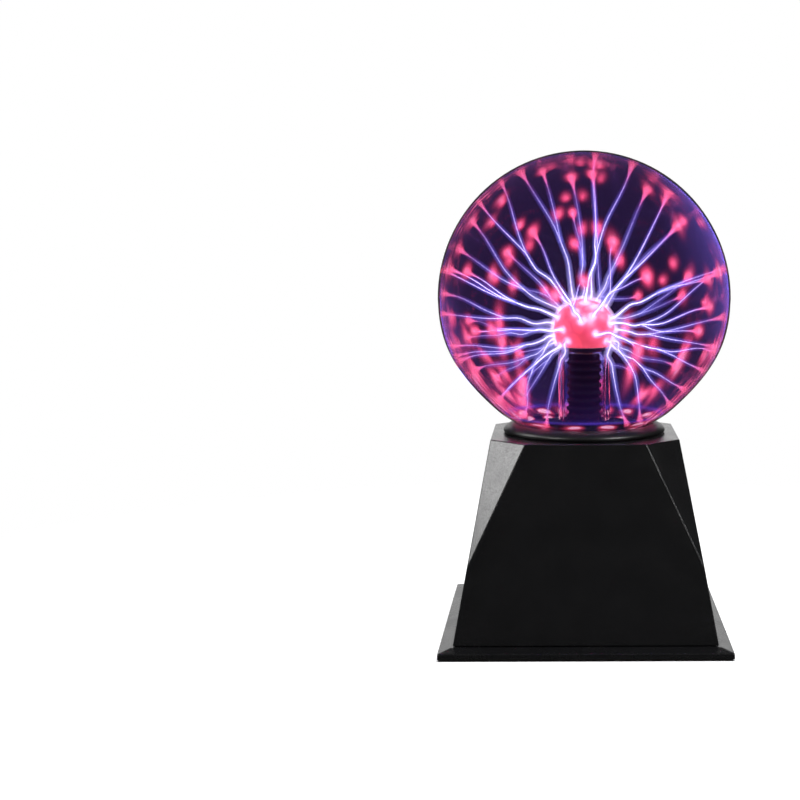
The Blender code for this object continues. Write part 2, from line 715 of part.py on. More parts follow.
def flyback_bobbin():
    """Flanged tube on the high-voltage leg, with a square bore for the ferrite."""
    low = CORE_LOW + CORE_YOKE + GAP
    high = CORE_HIGH - CORE_YOKE - GAP
    profile = [
        (0, low), (11.4 * MM, low), (11.4 * MM, low + 1.2 * MM), (8.2 * MM, low + 1.2 * MM),
        (8.2 * MM, high - 1.2 * MM), (11.4 * MM, high - 1.2 * MM), (11.4 * MM, high), (0, high),
    ]
    bm = bmesh.new()
    add_lathe(bm, profile, 24, Matrix.Translation((HV_LEG_X, CORE_Y, 0)))
    bobbin = piece("flyback_bobbin", bm, "white")
    bore = bmesh.new()
    half = CORE_LEG / 2 + GAP
    add_box(bore, (HV_LEG_X - half, CORE_Y - CORE_HALF_Y - GAP, low - MM),
            (HV_LEG_X + half, CORE_Y + CORE_HALF_Y + GAP, high + MM))
    boolean(bobbin, cutter("bobbin_bore", bore), "DIFFERENCE")


def add_winding(bm, x, inner, outer, low, high, turns, segments):
    """A ring of wound wire: its outside shows one ripple for each turn."""
    step = (high - low) / turns
    profile = [(inner, low)]
    for i in range(turns):
        profile.append((outer - 0.25 * step, low + i * step + 0.02 * step))
        profile.append((outer, low + (i + 0.5) * step))
    profile.append((outer - 0.25 * step, high))
    profile.append((inner, high))
    add_lathe(bm, profile, segments, Matrix.Translation((x, CORE_Y, 0)))


def windings():
    low = CORE_LOW + CORE_YOKE
    high = CORE_HIGH - CORE_YOKE
    bm = bmesh.new()
    add_winding(bm, HV_LEG_X, 8.5 * MM, 10.9 * MM, low + 1.8 * MM, high - 1.8 * MM, 4, 18)
    piece("secondary_winding", bm, "red")
    bm = bmesh.new()
    add_winding(bm, LV_LEG_X, 7.2 * MM, 8.6 * MM, low + 3.5 * MM, high - 3.5 * MM, 5, 14)
    piece("primary_winding", bm, "copper")


SINK_X = 24.0 * MM
SINK_Y = 4.0 * MM
SINK_HALF = 11.0 * MM


def heat_sink():
    """Finned aluminium block standing on the board."""
    low = BOARD_TOP + GAP
    back, fin = 3.0 * MM, 11.0 * MM
    outline = [(SINK_X - SINK_HALF, SINK_Y), (SINK_X + SINK_HALF, SINK_Y)]
    fins = 5
    pitch = 2 * SINK_HALF / (2 * fins - 1)
    for i in range(fins):
        right = SINK_X + SINK_HALF - 2 * i * pitch
        outline.append((right, SINK_Y + fin))
        outline.append((right - pitch, SINK_Y + fin))
        if i < fins - 1:
            outline.append((right - pitch, SINK_Y + back))
            outline.append((right - 2 * pitch, SINK_Y + back))
    bm = bmesh.new()
    add_prism(bm, outline, low, low + 26 * MM)
    sink = piece("heat_sink", bm, "aluminium", smooth=False)
    hole = bmesh.new()
    turn = Matrix.Translation((SINK_X, SINK_Y, low + 20 * MM)) @ Matrix.Rotation(TAU / 4, 4, "X")
    add_rod(hole, 1.1 * MM, -2.4 * MM, MM, 10, turn)
    boolean(sink, cutter("sink_hole", hole), "DIFFERENCE")


def power_transistor():
    """Flat tab with a moulded body and three legs, bolted to the heat sink's face."""
    low = BOARD_TOP + GAP
    back = SINK_Y - GAP
    outline = [(back, low + 23.5 * MM), (back - 1.3 * MM, low + 23.5 * MM), (back - 1.3 * MM, low + 17 * MM),
               (back - 4.4 * MM, low + 16.6 * MM), (back - 4.4 * MM, low + 8 * MM), (back, low + 8 * MM)]
    bm = bmesh.new()
    add_prism(bm, outline, SINK_X - 5 * MM, SINK_X + 5 * MM, axis="X")
    body = piece("power_transistor", bm, "dark", smooth=False)
    legs = bmesh.new()
    for i in (-1, 0, 1):
        x = SINK_X + i * 2.5 * MM
        add_box(legs, (x - 0.5 * MM, back - 2.6 * MM, low), (x + 0.5 * MM, back - 1.8 * MM, low + 9 * MM))
    boolean(body, cutter("transistor_legs", legs), "UNION")
    hole = bmesh.new()
    turn = Matrix.Translation((SINK_X, back, low + 20 * MM)) @ Matrix.Rotation(TAU / 4, 4, "X")
    add_rod(hole, 1.6 * MM, -2 * MM, 3 * MM, 12, turn)
    boolean(body, cutter("transistor_hole", hole), "DIFFERENCE")


def heat_sink_screw():
    seat = SINK_Y - GAP - 1.3 * MM - GAP
    turn = Matrix.Translation((SINK_X, seat, BOARD_TOP + GAP + 20 * MM)) @ Matrix.Rotation(-TAU / 4, 4, "X")
    bm = bmesh.new()
    add_lathe(bm, screw_profile(2.6 * MM, 1.8 * MM, 0.8 * MM, 3.8 * MM), 8, turn)
    piece("heat_sink_screw", bm, "steel")


def capacitors():
    """Electrolytic cans: a groove near the foot and a rounded rim."""
    low = BOARD_TOP + GAP
    cans = (((-35, 6), 5.0, 16.0), ((14, -28), 6.0, 20.0), ((31, -26), 4.0, 11.0))
    for i, ((x, y), radius, height) in enumerate(cans):
        r, h = radius * MM, height * MM
        profile = [
            (0, low), (r, low), (r, low + 1.6 * MM), (r - 0.5 * MM, low + 2.3 * MM), (r, low + 3.0 * MM),
            (r, low + h - 0.6 * MM), (r - 0.7 * MM, low + h), (r - 1.5 * MM, low + h - 0.3 * MM),
            (0, low + h - 0.3 * MM),
        ]
        bm = bmesh.new()
        add_lathe(bm, profile, 14, Matrix.Translation((x * MM, y * MM, 0)))
        piece(f"capacitor_{i + 1}", bm, "blue")


def oscillator_chip():
    low = BOARD_TOP + GAP
    x, y = -14.0 * MM, 12.0 * MM
    outline = [(y - 3.2 * MM, low + 1.0 * MM), (y + 3.2 * MM, low + 1.0 * MM), (y + 2.8 * MM, low + 4.0 * MM),
               (y - 2.8 * MM, low + 4.0 * MM)]
    bm = bmesh.new()
    add_prism(bm, outline, x - 4.8 * MM, x + 4.8 * MM, axis="X")
    chip = piece("oscillator_chip", bm, "dark", smooth=False)
    legs = bmesh.new()
    for i in range(4):
        across = x + (i - 1.5) * 2.4 * MM
        for side in (-1, 1):
            inner, outer = sorted((y + side * 2.6 * MM, y + side * 4.2 * MM))
            add_box(legs, (across - 0.5 * MM, inner, low), (across + 0.5 * MM, outer, low + 2.4 * MM))
    boolean(chip, cutter("chip_legs", legs), "UNION")


# Fittings on the back wall


def microphone():
    """Electret capsule behind its hole in the wall."""
    inside = -TOWER_WALL - GAP
    profile = [
        (0, inside - 5.4 * MM), (4.4 * MM, inside - 5.4 * MM), (4.8 * MM, inside - 4.9 * MM),
        (4.8 * MM, inside - 0.4 * MM), (4.4 * MM, inside), (2.0 * MM, inside), (1.6 * MM, inside - 0.6 * MM),
        (0, inside - 0.6 * MM),
    ]
    bm = bmesh.new()
    add_lathe(bm, profile, 14, wall_frame(MIC_AT))
    piece("microphone", bm, "aluminium")


JACK_DEPTH = 12.0 * MM


def dc_jack():
    """Barrel inlet: a flange outside, a threaded barrel through the wall and a blind bore for the plug."""
    profile = [
        (0, -JACK_DEPTH), (5.5 * MM, -JACK_DEPTH), (5.5 * MM, GAP), (7.4 * MM, GAP), (7.4 * MM, 1.3 * MM),
        (6.6 * MM, 2.0 * MM), (3.4 * MM, 2.0 * MM), (2.8 * MM, 1.3 * MM), (2.8 * MM, -9.5 * MM),
        (0, -9.5 * MM),
    ]
    bm = bmesh.new()
    add_lathe(bm, profile, 20, wall_frame(JACK_AT))
    piece("dc_jack", bm, "dark")


def dc_jack_pin():
    low = -9.5 * MM + GAP
    profile = [(0, low), (1.0 * MM, low), (1.0 * MM, -0.9 * MM), (0.6 * MM, -0.3 * MM), (0, -0.3 * MM)]
    bm = bmesh.new()
    add_lathe(bm, profile, 12, wall_frame(JACK_AT))
    piece("dc_jack_pin", bm, "brass")


def dc_jack_nut():
    top = -TOWER_WALL - GAP
    bm = bmesh.new()
    frame = wall_frame(JACK_AT)
    add_lathe(bm, [(0, top - 2.4 * MM), (8.2 * MM, top - 2.4 * MM), (8.2 * MM, top), (0, top)], 6, frame)
    nut = piece("dc_jack_nut", bm, "steel", smooth=False)
    bore = bmesh.new()
    add_rod(bore, 5.9 * MM, top - 4 * MM, top + MM, 20, frame)
    boolean(nut, cutter("nut_bore", bore), "DIFFERENCE")


# Switch, in the wall's frame. The pivot is level with the wall's outer face.
HOUSING_BACK = -14.0 * MM
CAVITY_X = 4.9 * MM
CAVITY_Y = 8.0 * MM
ROCKER_X = 4.55 * MM
ROCKER_REACH = 7.6 * MM
LEVER_PIVOT = -8.9 * MM
TERMINAL_SPOTS = (-4.6 * MM, 0.0, 4.6 * MM)


def switch_housing():
    frame = wall_frame(SWITCH_AT)
    bm = bmesh.new()
    add_box(bm, (-6.4 * MM, -9.5 * MM, HOUSING_BACK), (6.4 * MM, 9.5 * MM, MM), frame)
    housing = piece("switch_housing", bm, "dark", smooth=False)
    flange = bmesh.new()
    rings = [(7.7, 10.8, 0.3), (7.7, 10.8, 1.3), (7.1, 10.2, 1.8)]
    rows = []
    for half_x, half_y, z in rings:
        corners = [Vector((sx * half_x, sy * half_y, z)) * MM for sx, sy in corner_signs()]
        rows.append([flange.verts.new(corner) for corner in corners])
    for lower, upper in zip(rows, rows[1:]):
        for i in range(4):
            j = (i + 1) % 4
            flange.faces.new((lower[i], lower[j], upper[j], upper[i]))
    flange.faces.new(rows[0])
    flange.faces.new(rows[-1])
    bmesh.ops.transform(flange, matrix=frame, verts=flange.verts)
    boolean(housing, cutter("switch_flange", flange), "UNION")
    space = bmesh.new()
    add_box(space, (-CAVITY_X, -CAVITY_Y, HOUSING_BACK + 2 * MM), (CAVITY_X, CAVITY_Y, 4 * MM), frame)
    boolean(housing, cutter("switch_space", space), "DIFFERENCE")
    holes = bmesh.new()
    across = frame @ Matrix.Rotation(TAU / 4, 4, "Y")
    add_rod(holes, 1.0 * MM, -5.9 * MM, 5.9 * MM, 16, across)
    for y in TERMINAL_SPOTS:
        slot_low = (-1.9 * MM, y - 0.7 * MM, HOUSING_BACK - MM)
        slot_high = (1.9 * MM, y + 0.7 * MM, HOUSING_BACK + 3 * MM)
        add_box(holes, slot_low, slot_high, frame)
    boolean(housing, cutter("switch_holes", holes), "DIFFERENCE")


def switch_rocker():
    """Concave rocker on two pins, with a hollow post below for the spring and plunger."""
    frame = wall_frame(SWITCH_AT)
    top, low = 2.4 * MM, -1.2 * MM
    edge = math.sqrt(ROCKER_REACH**2 - top**2)
    foot = math.sqrt(ROCKER_REACH**2 - low**2)
    outline = [(-edge, top), (-edge + 0.5 * MM, top + 0.1 * MM), (-3.2 * MM, 1.45 * MM), (0, 1.1 * MM),
               (3.2 * MM, 1.45 * MM), (edge - 0.5 * MM, top + 0.1 * MM), (edge, top),
               (ROCKER_REACH, 0), (foot, low), (-foot, low), (-ROCKER_REACH, 0)]
    bm = bmesh.new()
    add_prism(bm, outline, -ROCKER_X, ROCKER_X, axis="X", matrix=frame)
    pivot = frame.translation.copy()
    rocker = piece("switch_rocker", bm, "black", smooth=False, pivot=pivot)
    extras = bmesh.new()
    add_rod(extras, 0.7 * MM, -5.6 * MM, 5.6 * MM, 12, frame @ Matrix.Rotation(TAU / 4, 4, "Y"))
    add_rod(extras, 2.6 * MM, -5.4 * MM, -0.9 * MM, 16, frame)
    boolean(rocker, cutter("rocker_extras", extras), "UNION")
    bore = bmesh.new()
    add_rod(bore, 1.7 * MM, -7 * MM, -0.6 * MM, 14, frame)
    boolean(rocker, cutter("rocker_bore", bore), "DIFFERENCE")


def switch_plunger():
    frame = wall_frame(SWITCH_AT)
    profile = [
        (0, -4.2 * MM), (1.35 * MM, -4.2 * MM), (1.35 * MM, -6.6 * MM), (1.1 * MM, -7.3 * MM),
        (0.6 * MM, -7.7 * MM), (0, -7.85 * MM),
    ]
    bm = bmesh.new()
    add_lathe(bm, profile, 14, frame)
    piece("switch_plunger", bm, "brass", pivot=frame.translation.copy())


def switch_spring():
    frame = wall_frame(SWITCH_AT)
    bm = bmesh.new()
    add_tube(bm, coil_path(1.1 * MM, -3.6 * MM, -1.2 * MM, 3, 8, frame), 0.25 * MM, 5)
    piece("switch_spring", bm, "steel", pivot=frame.translation.copy())


def switch_lever():
    """Seesaw contact plate that tips over the middle terminal as the plunger crosses it."""
    frame = wall_frame(SWITCH_AT)
    top, low = -8.2 * MM, -8.7 * MM
    outline = [(-5.6 * MM, low), (-5.6 * MM, top), (5.6 * MM, top), (5.6 * MM, low)]
    bm = bmesh.new()
    add_prism(bm, outline, -1.8 * MM, 1.8 * MM, axis="X", matrix=frame)
    pivot = frame @ Vector((0, 0, LEVER_PIVOT))
    piece("switch_lever", bm, "brass", smooth=False, pivot=pivot)


def switch_terminals():
    """Blades through the housing. The middle one rises to a knife edge under the lever."""
    frame = wall_frame(SWITCH_AT)
    for i, y in enumerate(TERMINAL_SPOTS):
        left, right = y - 0.4 * MM, y + 0.4 * MM
        if y == 0.0:
            tip = [(right, -9.5 * MM), (y, -9.0 * MM), (left, -9.5 * MM)]
        else:
            tip = [(right, -9.9 * MM), (left, -9.9 * MM)]
        outline = [(left, -20 * MM), (right, -20 * MM)] + tip
        bm = bmesh.new()
        add_prism(bm, outline, -1.6 * MM, 1.6 * MM, axis="X", matrix=frame)
        piece(f"switch_terminal_{i + 1}", bm, "brass", smooth=False)


# Wires


def wire(name, points, radius, look, sides=6, steps=4):
    bm = bmesh.new()
    add_tube(bm, smooth_path(points, steps), radius, sides)
    piece(name, bm, look)


def wires():
    jack = wall_frame(JACK_AT)
    switch = wall_frame(SWITCH_AT)
    mic = wall_frame(MIC_AT)
    board = BOARD_TOP + GAP + 0.9 * MM
    behind = -JACK_DEPTH - GAP
    start = jack @ Vector((-2.4 * MM, 0, behind))
    wire("power_wire_red", [start, start + Vector((-2 * MM, -6 * MM, -2 * MM)),
                            (-25 * MM, 28 * MM, 17 * MM), (-26 * MM, 19 * MM, board)], 0.8 * MM, "red")
    start = jack @ Vector((2.4 * MM, 0, behind))
    wire("power_wire_black", [start, start + Vector((MM, -6 * MM, -2 * MM)),
                              (-17 * MM, 28 * MM, 17 * MM), (-18 * MM, 19.5 * MM, board)], 0.8 * MM, "rubber")
    start = switch @ Vector((0, 0, -20 * MM - GAP))
    wire("switch_wire", [start, start + Vector((0, -5 * MM, -3 * MM)), (12 * MM, 25 * MM, 16 * MM),
                         (8 * MM, 18 * MM, board)], 0.8 * MM, "white")
    start = mic @ Vector((0, 0, -TOWER_WALL - 5.7 * MM - GAP))
    wire("mic_wire", [start, start + Vector((0, -6 * MM, -2 * MM)), (-3 * MM, 30 * MM, 17 * MM),
                      (-2 * MM, 19 * MM, board)], 0.7 * MM, "rubber")


def hv_cable():
    """Thick silicone lead from the transformer's high-voltage side up to the rod."""
    start = (HV_LEG_X + 12.2 * MM, CORE_Y, CORE_HIGH - CORE_YOKE - 3 * MM)
    end = (0, 0, 66.0 * MM - GAP)
    points = [start, (20 * MM, -7 * MM, 46 * MM), (17 * MM, 2 * MM, 56 * MM), (6 * MM, 4 * MM, 58 * MM),
              (0, MM, 61 * MM), end]
    wire("hv_cable", points, 1.5 * MM, "rubber", sides=8)


def main():
    clear_scene()
    glass_globe()
    stem_tube()
    electrode_bulb()
    electrode_coating()
    insulating_sleeve()
    contact_rod()
    contact_spring()
    stem_bung()
    collar_ring()
    globe_gasket()
    retainer_ring()
    retainer_screws()
    tower_shell()
    base_plate()
    rubber_feet()
    case_screws()
    circuit_board()
    board_screws()
    core_half("flyback_core_lower", CORE_LOW, CORE_SPLIT - GAP / 2)
    core_half("flyback_core_upper", CORE_HIGH, CORE_SPLIT + GAP / 2)
    flyback_bobbin()
    windings()
    heat_sink()
    power_transistor()
    heat_sink_screw()
    capacitors()
    oscillator_chip()
    microphone()
    dc_jack()
    dc_jack_pin()
    dc_jack_nut()
    switch_housing()
    switch_rocker()
    switch_plunger()
    switch_spring()
    switch_lever()
    switch_terminals()
    wires()
    hv_cable()


main()
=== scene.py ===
import math
import random

import bmesh
import bpy
import numpy as np
from mathutils import Matrix, Vector


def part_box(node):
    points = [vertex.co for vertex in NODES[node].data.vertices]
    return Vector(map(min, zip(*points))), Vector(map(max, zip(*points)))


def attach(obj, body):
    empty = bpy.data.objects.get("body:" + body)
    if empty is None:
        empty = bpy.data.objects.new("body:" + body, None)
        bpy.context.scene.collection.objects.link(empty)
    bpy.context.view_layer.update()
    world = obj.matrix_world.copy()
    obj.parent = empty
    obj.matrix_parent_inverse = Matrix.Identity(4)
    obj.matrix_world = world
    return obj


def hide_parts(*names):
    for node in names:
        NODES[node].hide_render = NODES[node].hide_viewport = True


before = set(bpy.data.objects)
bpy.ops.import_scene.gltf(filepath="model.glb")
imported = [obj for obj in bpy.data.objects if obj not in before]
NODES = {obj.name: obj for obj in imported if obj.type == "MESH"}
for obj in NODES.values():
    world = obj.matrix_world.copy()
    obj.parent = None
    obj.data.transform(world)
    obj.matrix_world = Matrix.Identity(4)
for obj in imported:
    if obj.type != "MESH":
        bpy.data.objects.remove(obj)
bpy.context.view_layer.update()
MM = 0.001
TAU = 2 * math.pi
BASE = "base"

# Places read from the frame
GLOBE_LOW, GLOBE_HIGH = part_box("glass_globe")
BULB_LOW, BULB_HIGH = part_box("electrode_bulb")
STEM_LOW, STEM_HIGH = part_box("stem_tube")
SLEEVE_LOW, SLEEVE_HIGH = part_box("insulating_sleeve")
COLLAR_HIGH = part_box("collar_ring")[1]
TOWER_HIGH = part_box("tower_shell")[1]

GLOBE_RADIUS = 75.0 * MM
GLOBE_CENTRE = Vector((0, 0, GLOBE_HIGH[2] - GLOBE_RADIUS))
GLOBE_WALL = 0.3 * MM
NECK_RADIUS = 30.0 * MM
STEM_RADIUS = 12.8 * MM
STEM_WALL = 0.7 * MM
SLEEVE_RIDGE = 9.0 * MM
SLEEVE_GROOVE = 7.9 * MM
SLEEVE_BORE = 1.9 * MM
SLEEVE_PITCH = 4.0 * MM
COLLAR_INNER = 33.5 * MM
BALL_RADIUS = (BULB_HIGH[0] - BULB_LOW[0]) / 2
BALL_CENTRE = Vector((0, 0, BULB_HIGH[2] - BALL_RADIUS))
BALL_WALL = 1.3 * MM
FILM_RADIUS = 17.5 * MM

CAMERA_PLACE = (-11.3 * MM, -784.4 * MM, 210.9 * MM)
CAMERA_YAW, CAMERA_PITCH = 0.65, 6.7
CAMERA_LENS = 68.6
CAMERA_SHIFT = (-0.2244, -0.00125)
FLOOR_RADIUS = 0.48
BASE_MIDDLE = Vector((0, 0, 0.05))  # where the panels point

SEED = 11
rng = random.Random(SEED)


# Camera, light and floor


def look(place, yaw, pitch, lens, shift):
    """Camera at a place, turned right by yaw and down by pitch (degrees)."""
    data = bpy.data.cameras.new("camera")
    data.lens = lens
    data.sensor_width = 36
    data.shift_x, data.shift_y = shift
    data.clip_start, data.clip_end = 0.01, 50
    cam = bpy.data.objects.new("camera", data)
    bpy.context.scene.collection.objects.link(cam)
    cam.location = place
    cam.rotation_euler = (math.radians(90 - pitch), 0, math.radians(-yaw))
    bpy.context.scene.camera = cam


def node(tree, kind, **values):
    made = tree.nodes.new(kind)
    for key, value in values.items():
        setattr(made, key, value)
    return made


def link(tree, a, b):
    tree.links.new(a, b)


def sky(tree, colour, strength):
    made = node(tree, "ShaderNodeBackground")
    made.inputs["Color"].default_value = (*colour, 1)
    made.inputs["Strength"].default_value = strength
    return made.outputs[0]


def choose(tree, test, otherwise, chosen):
    """One shader where the test is 1, the other where it is 0."""
    mix = node(tree, "ShaderNodeMixShader")
    link(tree, test, mix.inputs[0])
    link(tree, otherwise, mix.inputs[1])
    link(tree, chosen, mix.inputs[2])
    return mix.outputs[0]


def studio():
    """White to the eye; what the object itself sees is a dim room."""
    world = bpy.data.worlds.new("studio")
    bpy.context.scene.world = world
    world.use_nodes = True
    tree = world.node_tree
    tree.nodes.clear()
    path = node(tree, "ShaderNodeLightPath")
    room = sky(tree, (0.9, 0.9, 0.9), 0.045)
    white = sky(tree, (1, 1, 1), 1.0)
    through_glass = sky(tree, (0.5, 0.5, 1.0), 0.1)
    dim = choose(tree, path.outputs["Is Transmission Ray"], room, through_glass)
    out = node(tree, "ShaderNodeOutputWorld")
    link(tree, choose(tree, path.outputs["Is Camera Ray"], dim, white), out.inputs["Surface"])


def panel(name, direction, reach, wide, radiance, receivers=None):
    """A round soft panel seen from the base in one direction; wide is its half angle in degrees."""
    radius = reach * math.tan(math.radians(wide))
    data = bpy.data.lights.new(name, "AREA")
    data.shape = "DISK"
    data.size = 2 * radius
    data.energy = radiance * math.pi * math.pi * radius**2
    light = bpy.data.objects.new(name, data)
    bpy.context.scene.collection.objects.link(light)
    light.location = BASE_MIDDLE + Vector(direction).normalized() * reach
    light.rotation_euler = (BASE_MIDDLE - light.location).to_track_quat("-Z", "Y").to_euler()
    light.visible_camera = False
    light.visible_transmission = False
    if receivers is None:
        light.visible_glossy = False
    else:
        light.light_linking.receiver_collection = receivers


def lights(base_pieces):
    """One panel over the sheet, and small ones flagged so that only the base sees them."""
    flagged = bpy.data.collections.new("flagged_to_base")
    for obj in base_pieces:
        flagged.objects.link(obj)
    panel("top_panel", (0.1, -0.1, 1.0), 1.1, 30, 8.0)
    panel("left_panel", (-0.92, 0.02, 0.61), 1.2, 15, 6.9, flagged)
    panel("back_panel", (0.0, 0.985, 0.20), 1.2, 24, 0.95, flagged)
    panel("right_edge_panel", (0.66, -0.60, 0.57), 1.2, 9, 31.0, flagged)
    panel("left_edge_panel", (-0.63, -0.62, 0.57), 1.2, 8, 18.0, flagged)


def floor_material():
    """Matt white sheet that fades out towards its rim, so it has no edge."""
    mat = bpy.data.materials.new("floor_sheet")
    mat.use_nodes = True
    tree = mat.node_tree
    tree.nodes.clear()
    coord = node(tree, "ShaderNodeTexCoord")
    flat = node(tree, "ShaderNodeVectorMath", operation="LENGTH")
    link(tree, coord.outputs["Object"], flat.inputs[0])
    fade = node(tree, "ShaderNodeMapRange", interpolation_type="SMOOTHSTEP")
    fade.inputs["From Min"].default_value = 0.22
    fade.inputs["From Max"].default_value = 0.46
    link(tree, flat.outputs["Value"], fade.inputs["Value"])
    matt = node(tree, "ShaderNodeBsdfDiffuse")
    matt.inputs["Color"].default_value = (0.86, 0.86, 0.87, 1)
    clear = node(tree, "ShaderNodeBsdfTransparent")
    out = node(tree, "ShaderNodeOutputMaterial")
    faded = choose(tree, fade.outputs["Result"], matt.outputs[0], clear.outputs[0])
    link(tree, faded, out.inputs["Surface"])
    return mat


def floor():
    bm = bmesh.new()
    bmesh.ops.create_circle(bm, cap_ends=True, segments=96, radius=FLOOR_RADIUS)
    mesh = bpy.data.meshes.new("floor")
    bm.to_mesh(mesh)
    bm.free()
    obj = bpy.data.objects.new("floor", mesh)
    bpy.context.scene.collection.objects.link(obj)
    mesh.materials.append(floor_material())
    obj.visible_glossy = False
    obj.visible_transmission = False


# Materials


def new_material(name):
    mat = bpy.data.materials.new(name)
    mat.use_nodes = True
    tree = mat.node_tree
    shader = tree.nodes["Principled BSDF"]
    return mat, tree, shader


def noise(tree, scale, detail=4.0, rough=0.5):
    coord = node(tree, "ShaderNodeTexCoord")
    tex = node(tree, "ShaderNodeTexNoise")
    tex.inputs["Scale"].default_value = scale
    tex.inputs["Detail"].default_value = detail
    tex.inputs["Roughness"].default_value = rough
    link(tree, coord.outputs["Object"], tex.inputs["Vector"])
    return tex.outputs["Fac"]


def spread(tree, source, low, high, start=0.3, stop=0.7):
    """Stretch the part of a value between start and stop over low to high."""
    ramp = node(tree, "ShaderNodeMapRange")
    ramp.inputs["From Min"].default_value = start
    ramp.inputs["From Max"].default_value = stop
    ramp.inputs["To Min"].default_value = low
    ramp.inputs["To Max"].default_value = high
    link(tree, source, ramp.inputs["Value"])
    return ramp.outputs["Result"]


def blend_colour(tree, source, first, second):
    mix = node(tree, "ShaderNodeMix", data_type="RGBA")
    mix.inputs["A"].default_value = (*first, 1)
    mix.inputs["B"].default_value = (*second, 1)
    link(tree, source, mix.inputs["Factor"])
    return mix.outputs["Result"]


def bump(tree, shader, source, strength, distance):
    made = node(tree, "ShaderNodeBump")
    made.inputs["Strength"].default_value = strength
    made.inputs["Distance"].default_value = distance
    link(tree, source, made.inputs["Height"])
    link(tree, made.outputs["Normal"], shader.inputs["Normal"])


def surface(name, dark, light, rough, grain, depth, metallic=0.0, specular=(0.45, 0.55)):
    """A moulded or machined surface: two close colours in soft patches, uneven gloss and a fine grain."""
    mat, tree, shader = new_material(name)
    patches = spread(tree, noise(tree, 40, 5.0, 0.6), 0, 1)
    link(tree, blend_colour(tree, patches, dark, light), shader.inputs["Base Color"])
    link(tree, spread(tree, noise(tree, 68, 3.0), rough[0], rough[1]), shader.inputs["Roughness"])
    shader.inputs["Metallic"].default_value = metallic
    fine = noise(tree, grain, 3.0, 0.6)
    link(tree, spread(tree, fine, specular[0], specular[1]), shader.inputs["Specular IOR Level"])
    bump(tree, shader, fine, 0.5, depth)
    return mat


def winding(name, dark, light, pitch, rough, metallic):
    """Wire laid turn on turn: bands round the coil's axis."""
    mat, tree, shader = new_material(name)
    coord = node(tree, "ShaderNodeTexCoord")
    wave = node(tree, "ShaderNodeTexWave", wave_type="BANDS", bands_direction="Z")
    wave.inputs["Scale"].default_value = pitch
    wave.inputs["Distortion"].default_value = 0.6
    link(tree, coord.outputs["Object"], wave.inputs["Vector"])
    link(tree, blend_colour(tree, wave.outputs["Fac"], dark, light), shader.inputs["Base Color"])
    shader.inputs["Roughness"].default_value = rough
    shader.inputs["Metallic"].default_value = metallic
    bump(tree, shader, wave.outputs["Fac"], 0.7, 0.0003)
    return mat


def board_material():
    """Green laminate with paler tracks and a light speckle."""
    mat, tree, shader = new_material("board_laminate")
    coord = node(tree, "ShaderNodeTexCoord")
    cells = node(tree, "ShaderNodeTexBrick")
    cells.inputs["Scale"].default_value = 60
    cells.inputs["Color1"].default_value = (0.02, 0.16, 0.06, 1)
    cells.inputs["Color2"].default_value = (0.025, 0.2, 0.075, 1)
    cells.inputs["Mortar"].default_value = (0.05, 0.32, 0.13, 1)
    cells.inputs["Mortar Size"].default_value = 0.04
    link(tree, coord.outputs["Object"], cells.inputs["Vector"])
    link(tree, cells.outputs["Color"], shader.inputs["Base Color"])
    link(tree, spread(tree, noise(tree, 300), 0.3, 0.5), shader.inputs["Roughness"])
    bump(tree, shader, cells.outputs["Fac"], 0.4, 0.0001)
    return mat


def clear_glass(name, tint, ior, shine, wave_depth):
    """Blown glass: a slight waviness in the wall and faint smears in the gloss."""
    mat, tree, shader = new_material(name)
    shader.inputs["Base Color"].default_value = (*tint, 1)
    shader.inputs["Transmission Weight"].default_value = 1.0
    shader.inputs["IOR"].default_value = ior
    shader.inputs["Specular Tint"].default_value = (shine, shine, shine, 1)
    link(tree, spread(tree, noise(tree, 30, 3.0), 0.0, 0.02, 0.45, 0.75), shader.inputs["Roughness"])
    bump(tree, shader, noise(tree, 22, 1.0), 0.12, wave_depth)
    return mat


# holds real gas light, and also painted rim glow standing in for the plasma reflected in the glass rim
def gas_and_painted_glow_volume(name, colour, strength):
    """Nothing but faint light inside a closed outline, stronger where more of it lies in line."""
    mat = bpy.data.materials.new(name)
    mat.use_nodes = True
    tree = mat.node_tree
    tree.nodes.clear()
    clear = node(tree, "ShaderNodeBsdfTransparent")
    light = node(tree, "ShaderNodeEmission")
    light.inputs["Color"].default_value = (*colour, 1)
    light.inputs["Strength"].default_value = strength
    out = node(tree, "ShaderNodeOutputMaterial")
    link(tree, clear.outputs[0], out.inputs["Surface"])
    link(tree, light.outputs[0], out.inputs["Volume"])
    return mat


def gas_glow(name, strength):
    """Light in the gas: each point's own colour, and how dense it is there, from the mesh."""
    mat = bpy.data.materials.new(name)
    mat.use_nodes = True
    tree = mat.node_tree
    tree.nodes.clear()
    own = node(tree, "ShaderNodeAttribute", attribute_name="glow")
    light = node(tree, "ShaderNodeEmission")
    light.inputs["Strength"].default_value = strength
    link(tree, own.outputs["Color"], light.inputs["Color"])
    clear = node(tree, "ShaderNodeBsdfTransparent")
    out = node(tree, "ShaderNodeOutputMaterial")
    shown = choose(tree, own.outputs["Alpha"], clear.outputs[0], light.outputs[0])
    link(tree, shown, out.inputs["Surface"])
    mat.cycles.emission_sampling = "NONE"
    return mat


# Turned pieces


def ring(bm, radius, height, segments):
    turns = [TAU * i / segments for i in range(segments)]
    return [bm.verts.new((radius * math.cos(a), radius * math.sin(a), height)) for a in turns]


